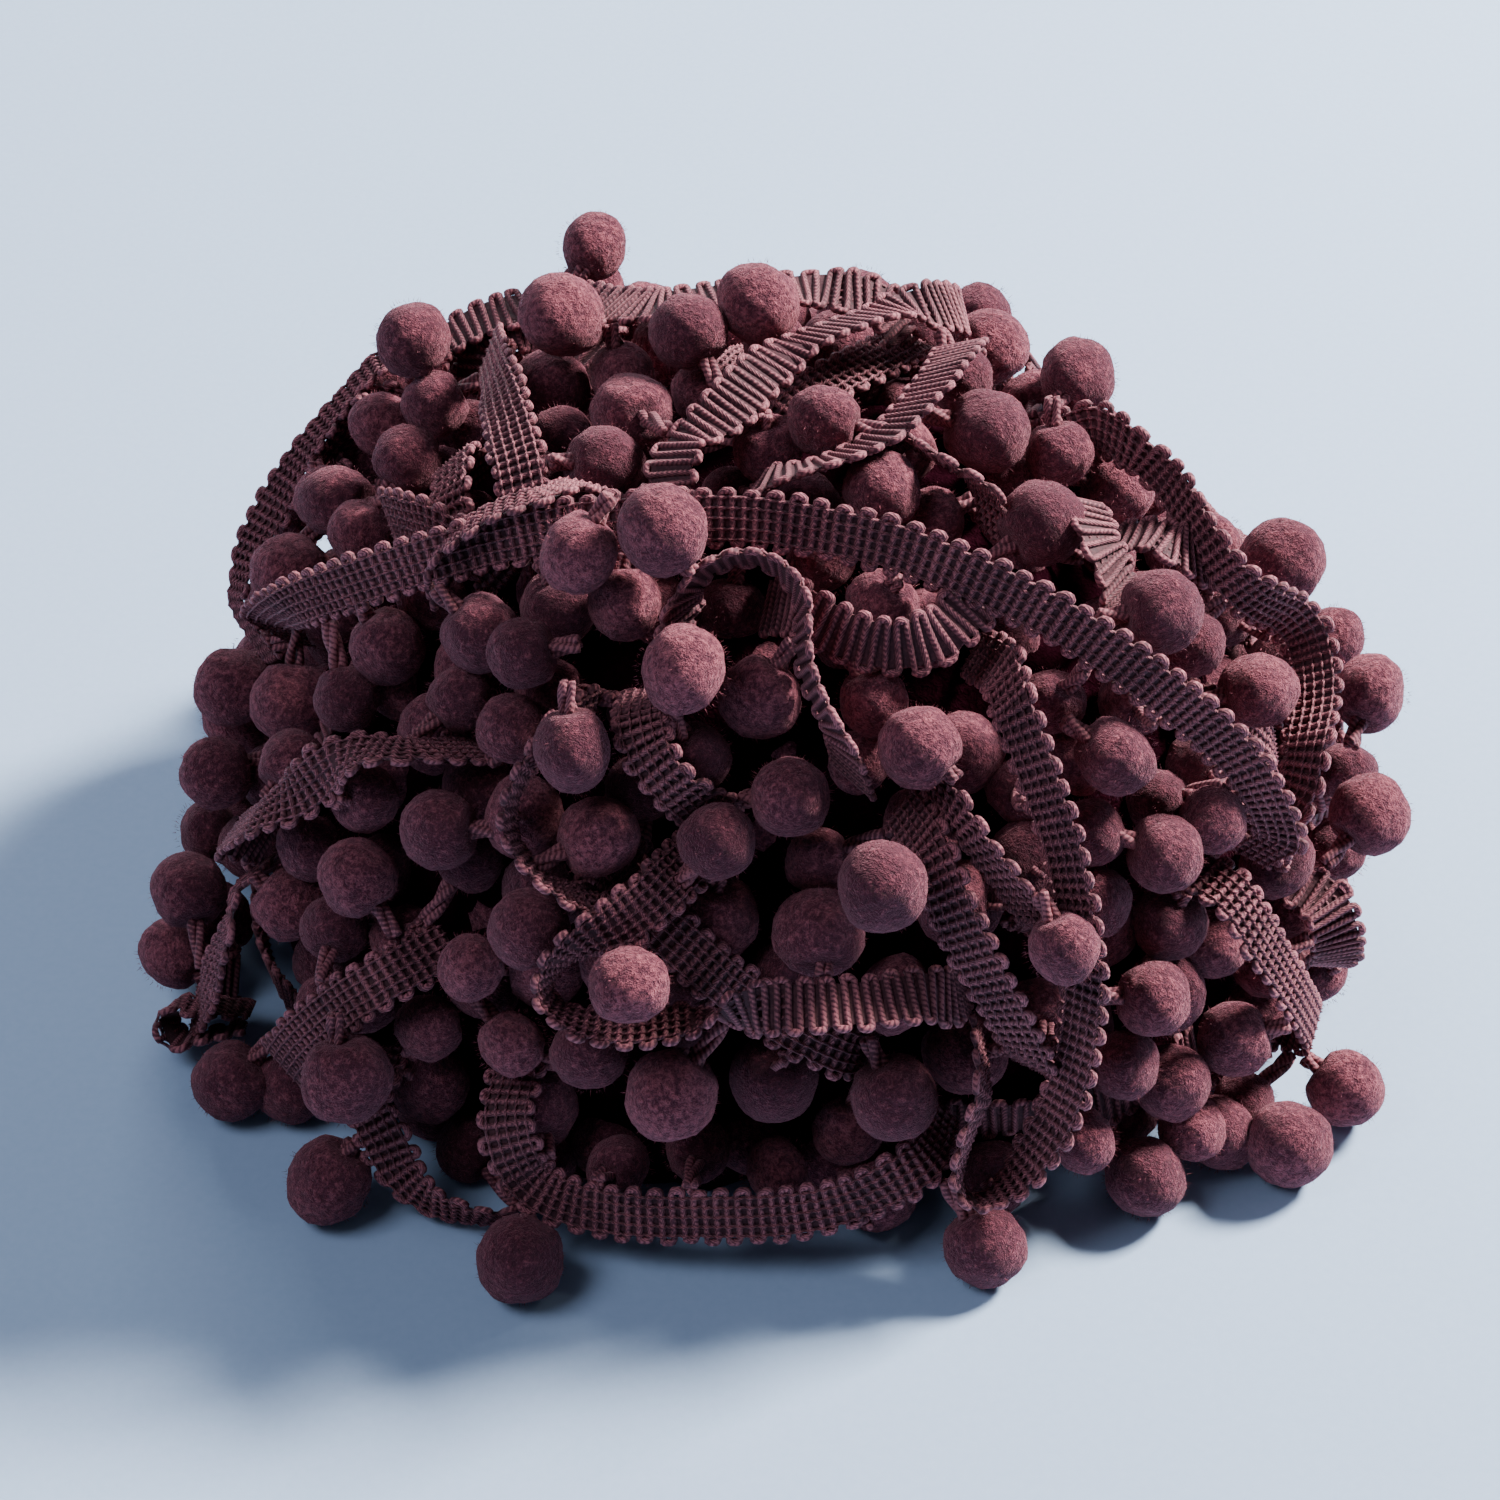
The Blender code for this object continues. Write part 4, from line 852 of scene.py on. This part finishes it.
def yarn_material(name, dark, mid, light, sheen=0.35):
    """Plied cord: twist lines across the ply, dye a little uneven along it, and painted shade mixed toward a near-black
    where the tone attribute is low.
    """
    mat = bpy.data.materials.new(name)
    mat.use_nodes = True
    tree = mat.node_tree
    shader = tree.nodes["Principled BSDF"]
    coord = node(tree, "ShaderNodeTexCoord")
    uv = node(tree, "ShaderNodeUVMap")
    uv.uv_map = "ply"
    sep = node(tree, "ShaderNodeSeparateXYZ")
    tree.links.new(uv.outputs["UV"], sep.inputs[0])
    lay = node(tree, "ShaderNodeMath", operation="MULTIPLY")
    tree.links.new(sep.outputs["X"], lay.inputs[0])
    lay.inputs[1].default_value = 10.5
    round_ = node(tree, "ShaderNodeMath", operation="MULTIPLY_ADD")
    tree.links.new(sep.outputs["Y"], round_.inputs[0])
    round_.inputs[1].default_value = 2.0 * math.pi * 2.0
    tree.links.new(lay.outputs[0], round_.inputs[2])
    wave = node(tree, "ShaderNodeMath", operation="SINE")
    tree.links.new(round_.outputs[0], wave.inputs[0])
    ply = node(tree, "ShaderNodeMapRange")
    ply.inputs["From Min"].default_value = -1.0
    tree.links.new(wave.outputs[0], ply.inputs["Value"])
    fuzz = node(tree, "ShaderNodeTexNoise")
    fuzz.inputs["Scale"].default_value = 2600.0
    fuzz.inputs["Detail"].default_value = 3.0
    broad = node(tree, "ShaderNodeTexNoise")
    broad.inputs["Scale"].default_value = 160.0
    for tex in (fuzz, broad):
        tree.links.new(coord.outputs["Object"], tex.inputs["Vector"])
    a = node(tree, "ShaderNodeMath", operation="MULTIPLY_ADD")
    tree.links.new(ply.outputs["Result"], a.inputs[0])
    a.inputs[1].default_value = 0.34
    tree.links.new(fuzz.outputs["Fac"], a.inputs[2])
    c = node(tree, "ShaderNodeMath", operation="MULTIPLY_ADD")
    tree.links.new(broad.outputs["Fac"], c.inputs[0])
    c.inputs[1].default_value = 0.5
    tree.links.new(a.outputs[0], c.inputs[2])
    ramp = node(tree, "ShaderNodeValToRGB")
    ramp.color_ramp.elements[0].position = 0.55
    ramp.color_ramp.elements[0].color = (*dark, 1.0)
    ramp.color_ramp.elements[1].position = 1.15
    ramp.color_ramp.elements[1].color = (*light, 1.0)
    m = ramp.color_ramp.elements.new(0.88)
    m.color = (*mid, 1.0)
    tree.links.new(c.outputs[0], ramp.inputs["Fac"])
    tone = node(tree, "ShaderNodeAttribute")
    tone.attribute_name = "tone"
    # painted shade: where the tone attribute is low the colour is mixed toward a near-black, for crevices, dipping
    # warps and the web
    painted_shade = node(tree, "ShaderNodeMix", data_type="RGBA")
    painted_shade.clamp_factor = True
    tree.links.new(tone.outputs["Fac"], painted_shade.inputs["Factor"])
    painted_shade.inputs[6].default_value = (dark[0] * 0.40, dark[1] * 0.40, dark[2] * 0.42, 1.0)
    tree.links.new(ramp.outputs["Color"], painted_shade.inputs[7])
    tree.links.new(painted_shade.outputs[2], shader.inputs["Base Color"])
    rough = node(tree, "ShaderNodeMapRange")
    rough.inputs["To Min"].default_value = 0.62
    rough.inputs["To Max"].default_value = 0.85
    tree.links.new(fuzz.outputs["Fac"], rough.inputs["Value"])
    tree.links.new(rough.outputs["Result"], shader.inputs["Roughness"])
    b = node(tree, "ShaderNodeBump")
    b.inputs["Strength"].default_value = 0.8
    b.inputs["Distance"].default_value = 0.00012
    tree.links.new(a.outputs[0], b.inputs["Height"])
    tree.links.new(b.outputs["Normal"], shader.inputs["Normal"])
    shader.inputs["Specular IOR Level"].default_value = 0.30
    shader.inputs["Sheen Weight"].default_value = sheen
    shader.inputs["Sheen Roughness"].default_value = 0.40
    shader.inputs["Sheen Tint"].default_value = (1.0, 0.64, 0.70, 1.0)
    return mat


def floor_material():
    mat = bpy.data.materials.new("pale_floor")
    mat.use_nodes = True
    tree = mat.node_tree
    shader = tree.nodes["Principled BSDF"]
    coord = node(tree, "ShaderNodeTexCoord")
    tex = node(tree, "ShaderNodeTexNoise")
    tex.inputs["Scale"].default_value = 900.0
    tree.links.new(coord.outputs["Object"], tex.inputs["Vector"])
    ramp = node(tree, "ShaderNodeValToRGB")
    ramp.color_ramp.elements[0].color = (0.34, 0.47, 0.68, 1.0)
    ramp.color_ramp.elements[1].color = (0.39, 0.52, 0.73, 1.0)
    tree.links.new(tex.outputs["Fac"], ramp.inputs["Fac"])
    tree.links.new(ramp.outputs["Color"], shader.inputs["Base Color"])
    shader.inputs["Roughness"].default_value = 0.95
    shader.inputs["Specular IOR Level"].default_value = 0.1
    return mat


# ------------------------------------------------------------------ placing
def put(mesh, name, mat, nodes=()):
    obj = bpy.data.objects.new(name, mesh)
    bpy.context.scene.collection.objects.link(obj)
    mesh.materials.append(mat)
    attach(obj, BODY)
    if nodes:
        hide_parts(*nodes)
    return obj


def apart(c, r, poms, k=0.93):
    """Deepest overlap of a ball with others; below 0 is free space."""
    if not poms:
        return -1.0
    cs = np.array([p.c for p in poms])
    rs = np.array([p.r for p in poms])
    return float(np.max((rs + r) * k - np.linalg.norm(cs - c, axis=1)))


def off_runs(c, r, pts):
    return float(r + 0.75 * MM - np.min(np.linalg.norm(pts - c, axis=1)))


def within_outline(p):
    """How far inside the heap's outline a point shows, in frame pixels; below 0 is outside."""
    x, y = pixel(p)
    a = np.array(OUTLINE, dtype=float)
    b = np.roll(a, -1, axis=0)
    q = np.array([x, y])
    t = np.clip(np.sum((q - a) * (b - a), axis=1) / np.sum((b - a) ** 2, axis=1), 0.0, 1.0)
    gap = float(np.min(np.linalg.norm(q - a - t[:, None] * (b - a), axis=1)))
    cross = ((a[:, 1] > y) != (b[:, 1] > y)) & (x < (b[:, 0] - a[:, 0]) * (y - a[:, 1])
                                                / np.where(b[:, 1] == a[:, 1], 1e-9, b[:, 1] - a[:, 1]) + a[:, 0])
    return gap if np.count_nonzero(cross) % 2 else -gap


def lay_deep_runs(rng, poms, taken, want=26):
    """Short stretches of braid under the outer layer, where the gaps would be bare."""
    cs = np.array([p.c for p in poms])
    rs = np.array([p.r for p in poms])
    out, mids = [], []
    for attempt in range(1600):
        if len(out) >= want:
            break
        el = math.asin(rng.uniform(0.06, 0.99))
        az = rng.uniform(0.0, 2 * math.pi)
        start = np.array([math.cos(el) * math.cos(az), math.cos(el) * math.sin(az), math.sin(el)])
        side = np.cross(start, rng.normal(size=3))
        side /= np.linalg.norm(side)
        reach = rng.uniform(0.22, 0.42)
        depth = rng.uniform(6.5, 10.5) * MM
        keys = []
        for a in np.linspace(-reach, reach, 5):
            u = start * math.cos(a) + side * math.sin(a)
            if u[2] < 0.05:
                break
            p = u * (float(dome_radius(u)) - depth - 2.0 * MM * (a / reach) ** 2)
            keys.append(np.append(p, rng.uniform(-0.35, 0.35)))
        if len(keys) < 5:
            continue
        run = Run("deep", np.array(keys), 1 if rng.uniform() < 0.6 else -1, 0.5)
        pts = run.samples()
        gap = np.linalg.norm(pts[:, None, :] - cs[None, :, :], axis=2) - rs[None, :]
        if float(np.min(gap)) < -0.9 * MM:
            continue
        if float(np.min(np.linalg.norm(pts[:, None, :] - taken[None, ::2, :], axis=2))) < 1.6 * MM:
            continue
        if mids and min(np.linalg.norm(run.m[len(run.m) // 2] - q) for q in mids) < 14.0 * MM:
            continue
        mids.append(run.m[len(run.m) // 2])
        out.append(run)
    return out


def main():
    make_camera()
    rng = np.random.default_rng(23)

    # runs of braid
    runs = []
    for name, bends in RUNS.items():
        keys = np.array([np.append(on_dome(b.az, b.el, b.lift * MM), math.radians(b.turn)) for b in bends])
        back = name.startswith("braid_back")
        runs.append(Run(name, dive(keys), GRID_OUT[name], 1.0))
    for name, (grid, bends) in SMALL.items():
        keys = np.array([np.append(on_dome(b.az, b.el, b.lift * MM), math.radians(b.turn)) for b in bends])
        runs.append(Run(name, dive(keys), grid, 1.0))
    # the curl that stands at the left foot, seen end on
    keys = curl_keys(186.0, 1026.0, 4.3 * MM, 2.2 * MM, 62.0, 300.0)
    tail = keys[0][:3] + VRIGHT * 7.0 * MM - VUP * 0.5 * MM, keys[-1][:3] + VRIGHT * 6.0 * MM + VUP * 1.5 * MM
    keys = np.array([np.append(tail[0], 0.0)] + keys + [np.append(tail[1], 0.0)])
    runs.append(Run("braid_small_left_curl", keys, 1, 1.0, way=np.array([0.30, 0.88, -0.37])))
    hard = np.vstack([r.samples() for r in runs])

    # proud pompoms first, then those seen from the front, then the rest
    poms = []
    for row in BALLS:
        r = row.size / 2 * MM
        c = on_dome(row.az, row.el, row.lift * MM)
        c[2] = max(c[2], r * row.long)
        poms.append(Pom(c, r, name=row.name, long=row.long))
    for row in SEEN:
        guess = seen_at(row.x, row.y, -5 * MM, 4 * MM)
        z = (guess - EYE) @ VIEW
        r = min(max(row.d * z / FOCAL_PX / 2, 3.9 * MM), 5.25 * MM)
        c = seen_at(row.x, row.y, -r - row.deep * MM, r)
        v = ray_at(row.x, row.y)
        # slide along the line of sight until it is clear of runs and other balls
        best, cost, clash = c, 1e9, 0.0
        for slide in np.arange(-2.5 if row.deep >= 0 and row.x > 380 else -6.0, 9.0, 0.5) * MM:
            q = c + v * slide
            if q[2] < r * 0.98:
                continue
            over = max(apart(q, r, poms), 0.0)
            into = max(off_runs(q, r, hard), 0.0)
            bad = over * 3.0 + into * 2.0 + (slide * (0.25 if row.deep < 0 else 0.10) if slide > 0 else -slide * 0.25)
            if bad < cost:
                best, cost, clash = q, bad, max(over, into)
        if clash > (2.6 if row.deep < 2 else 1.3) * MM:
            print("left out", row, round(clash / MM, 2))
            continue
        poms.append(Pom(best, r, neck=row.neck))
    seen_count = len(poms)

    # the outer layer where the front does not show it
    golden = math.pi * (3.0 - math.sqrt(5.0))

    def layer(count, depth, spread, tier, front_ok, keep, soft=0.0):
        added = 0
        for i in range(count):
            h = 0.995 - 0.96 * (i + 0.5) / count
            el = math.degrees(math.asin(h)) + rng.uniform(-2, 2)
            az = math.degrees(i * golden) + rng.uniform(-4, 4)
            r = rng.uniform(4.55, 5.1) * MM
            c = on_dome(az, el, -(r + depth * MM + rng.uniform(0.0, spread) * MM))
            c[2] = max(c[2], r)
            n = outward(c)
            faces = float(n @ ((EYE - c) / np.linalg.norm(EYE - c)))
            if not front_ok and faces > (0.30 if depth < 0 else -0.05):
                continue
            if apart(c, r, poms, keep) > 0 or off_runs(c, r, hard) > soft:
                continue
            if within_outline(c) < r * FOCAL_PX / float((c - EYE) @ VIEW) - 4.0:
                continue
            poms.append(Pom(c, r, tier=tier))
            added += 1
        return added

    n1 = layer(2600, -2.0, 2.0, 1, False, 0.95)
    n1 += layer(2600, 0.0, 1.2, 1, False, 0.95)
    n1 += layer(2600, 1.0, 2.5, 1, False, 0.90, 0.4 * MM)
    deep_runs = lay_deep_runs(rng, poms, hard)
    hard = np.vstack([hard] + [r.samples() for r in deep_runs])
    n2 = layer(1800, 2.5, 3.0, 2, True, 0.86, 0.8 * MM)
    n3 = layer(1800, 7.0, 3.0, 2, True, 0.86, 0.8 * MM)
    n4 = layer(1200, 12.0, 3.0, 3, True, 0.86, 1.0 * MM)

    # necks: to the nearest braid edge within reach, else into the heap
    edge_p, edge_w, edge_n = [np.vstack(k) for k in zip(*[r.edges() for r in runs])]
    for p in poms:
        if p.neck is not None and not isinstance(p.neck, np.ndarray):
            a = math.radians(p.neck)
            p.neck = VRIGHT * math.cos(a) + VUP * math.sin(a) - VIEW * 0.25
            p.neck /= np.linalg.norm(p.neck)
            p.root = p.c + p.neck * (p.r + 2.6 * MM)
            continue
        gap = edge_p - p.c
        dist = np.linalg.norm(gap, axis=1)
        good = (dist > p.r + 0.4 * MM) & (dist < p.r + 6.0 * MM) & (np.sum(edge_w * -gap, axis=1) > 0.0)
        if np.any(good) and p.tier <= 2:
            k = np.nonzero(good)[0][int(np.argmin(dist[good]))]
            p.neck = gap[k] / dist[k]
            p.root = edge_p[k]
        else:
            p.neck = -outward(p.c) + rng.normal(0.0, 0.5, 3)
            p.neck /= np.linalg.norm(p.neck)

    # ---------------------------------------------------------------- meshes
    felt = felt_material("pompom_felt", (0.026, 0.0072, 0.014), (0.088, 0.0205, 0.036), (0.33, 0.093, 0.122), 0.32, 1.0)
    yarn = yarn_material("braid_yarn", (0.064, 0.016, 0.028), (0.150, 0.039, 0.059), (0.38, 0.125, 0.152), 0.12)
    deep = felt_material("heap_shadow_yarn", (0.008, 0.0012, 0.003), (0.016, 0.0025, 0.006), (0.030, 0.006, 0.011), 0.0, 1.0, 0.5)

    total = 0
    for run in runs:
        pile = Pile()
        weave(pile, run, rng)
        total += pile.tris_count()
        put(pile.mesh(run.name), run.name + "_woven" if run.name in RUNS else run.name, yarn,
            (run.name,) if run.name in RUNS else ())
    pile = Pile()
    for run in deep_runs:
        weave(pile, run, rng)
    put(pile.mesh("braid_deep"), "braid_deep", yarn)
    total += pile.tris_count()
    print("deep runs", len(deep_runs), "tris", pile.tris_count())
    braid_tris = total

    v3, f3 = unit_ball(4)
    v2, f2 = unit_ball(3)
    fine = [(felted(v3, k, True), f3) for k in range(14)]
    plain = [(felted(v2, k + 40, False), f2) for k in range(8)]
    v1, f1 = unit_ball(2)
    rough = [(felted(v1, k + 60, False), f1) for k in range(4)]

    ball_tris = neck_tris = fuzz_tris = 0
    groups = {}
    necks, fuzz = Pile(), Pile()
    for p in poms:
        p.tone = float(rng.uniform(0.36, 0.64))
        near = p.tier <= 1
        shapes = fine if near else (plain if p.tier == 2 else rough)
        if p.name:
            pile = Pile()
            ball_into(pile, p, shapes, rng)
            put(pile.mesh(p.name), p.name + "_felt", felt, (p.name,))
            ball_tris += pile.tris_count()
        else:
            key = ("front" if p.tier == 0 else "outer" if p.tier == 1 else "inner")
            key = key + ("_right" if p.c[0] > 0 else "_left")
            pile = groups.setdefault(key, Pile())
            ball_into(pile, p, shapes, rng)
        if p.tier <= 2:
            neck_into(necks, p, rng, near)
        if near:
            fuzz_into(fuzz, p, 330, rng)
    for key, pile in groups.items():
        put(pile.mesh("pompoms_" + key), "pompoms_" + key, felt)
        ball_tris += pile.tris_count()
    put(necks.mesh("pompom_necks"), "pompom_necks", yarn)
    put(fuzz.mesh("pompom_fuzz"), "pompom_fuzz", felt)

    # the inside of the heap: a near-black shell where there is only shade between the balls, painted shade
    v4, f4 = unit_ball(5)
    d = v4.copy()
    up = np.maximum(d[:, 2], 0.0)
    dd = np.stack([d[:, 0], d[:, 1], up], axis=1)
    dd /= np.maximum(np.linalg.norm(dd, axis=1), 1e-6)[:, None]
    rad = dome_radius(dd) - 13.0 * MM
    bumps = np.array([noise.noise(Vector(p) * 9.0) for p in v4]) * 2.5 * MM
    core = dd * (rad + bumps)[:, None]
    core[d[:, 2] < 0] *= np.clip(1.0 + d[d[:, 2] < 0, 2:3], 0.0, 1.0)
    core[:, 2] = np.maximum(core[:, 2], 0.6 * MM)
    deep.node_tree.nodes["Principled BSDF"].inputs["Specular IOR Level"].default_value = 0.0
    put(new_mesh("heap_inside", core + CENTRE, f4), "heap_inside", deep, ("wound_heap",))

    print("tris: braid", braid_tris, "balls", ball_tris, "necks", necks.tris_count(), "fuzz", fuzz.tris_count(),
          "core", len(f4), "| pompoms", len(poms), "seen", seen_count, "layers", n1, n2, n3, n4)
    print("braid length shown, m:", round(sum(r.length for r in runs), 3))

    # ---------------------------------------------------------------- floor and light
    floor = bpy.data.meshes.new("floor")
    floor.from_pydata([(-3, -3, 0), (3, -3, 0), (3, 3, 0), (-3, 3, 0)], [], [(0, 1, 2, 3)])
    floor_obj = bpy.data.objects.new("floor", floor)
    floor.materials.append(floor_material())
    bpy.context.scene.collection.objects.link(floor_obj)

    def area(name, where, at, size, power, colour):
        lamp = bpy.data.lights.new(name, "AREA")
        lamp.shape = "RECTANGLE"
        lamp.size, lamp.size_y = size
        lamp.energy = power
        lamp.color = colour
        obj = bpy.data.objects.new(name, lamp)
        obj.location = where
        obj.rotation_euler = (Vector(at) - Vector(where)).to_track_quat("-Z", "Y").to_euler()
        bpy.context.scene.collection.objects.link(obj)

    area("key_right_back", (0.80, 0.38, 0.78), (0.0, 0.0, 0.03), (0.26, 0.26), 65.0, (1.0, 0.95, 0.90))
    area("rim_back", (-0.25, 0.95, 0.45), (0.0, 0.0, 0.03), (0.5, 0.35), 7.0, (0.92, 0.95, 1.0))
    area("fill_front_left", (-0.42, -0.26, 0.66), (-0.03, 0.0, 0.02), (0.40, 0.35), 2.6, (0.82, 0.86, 1.0))
    world = bpy.data.worlds.new("studio")
    bpy.context.scene.world = world
    world.use_nodes = True
    back = world.node_tree.nodes["Background"]
    back.inputs["Color"].default_value = (0.80, 0.87, 1.0, 1.0)
    back.inputs["Strength"].default_value = 0.085


main()
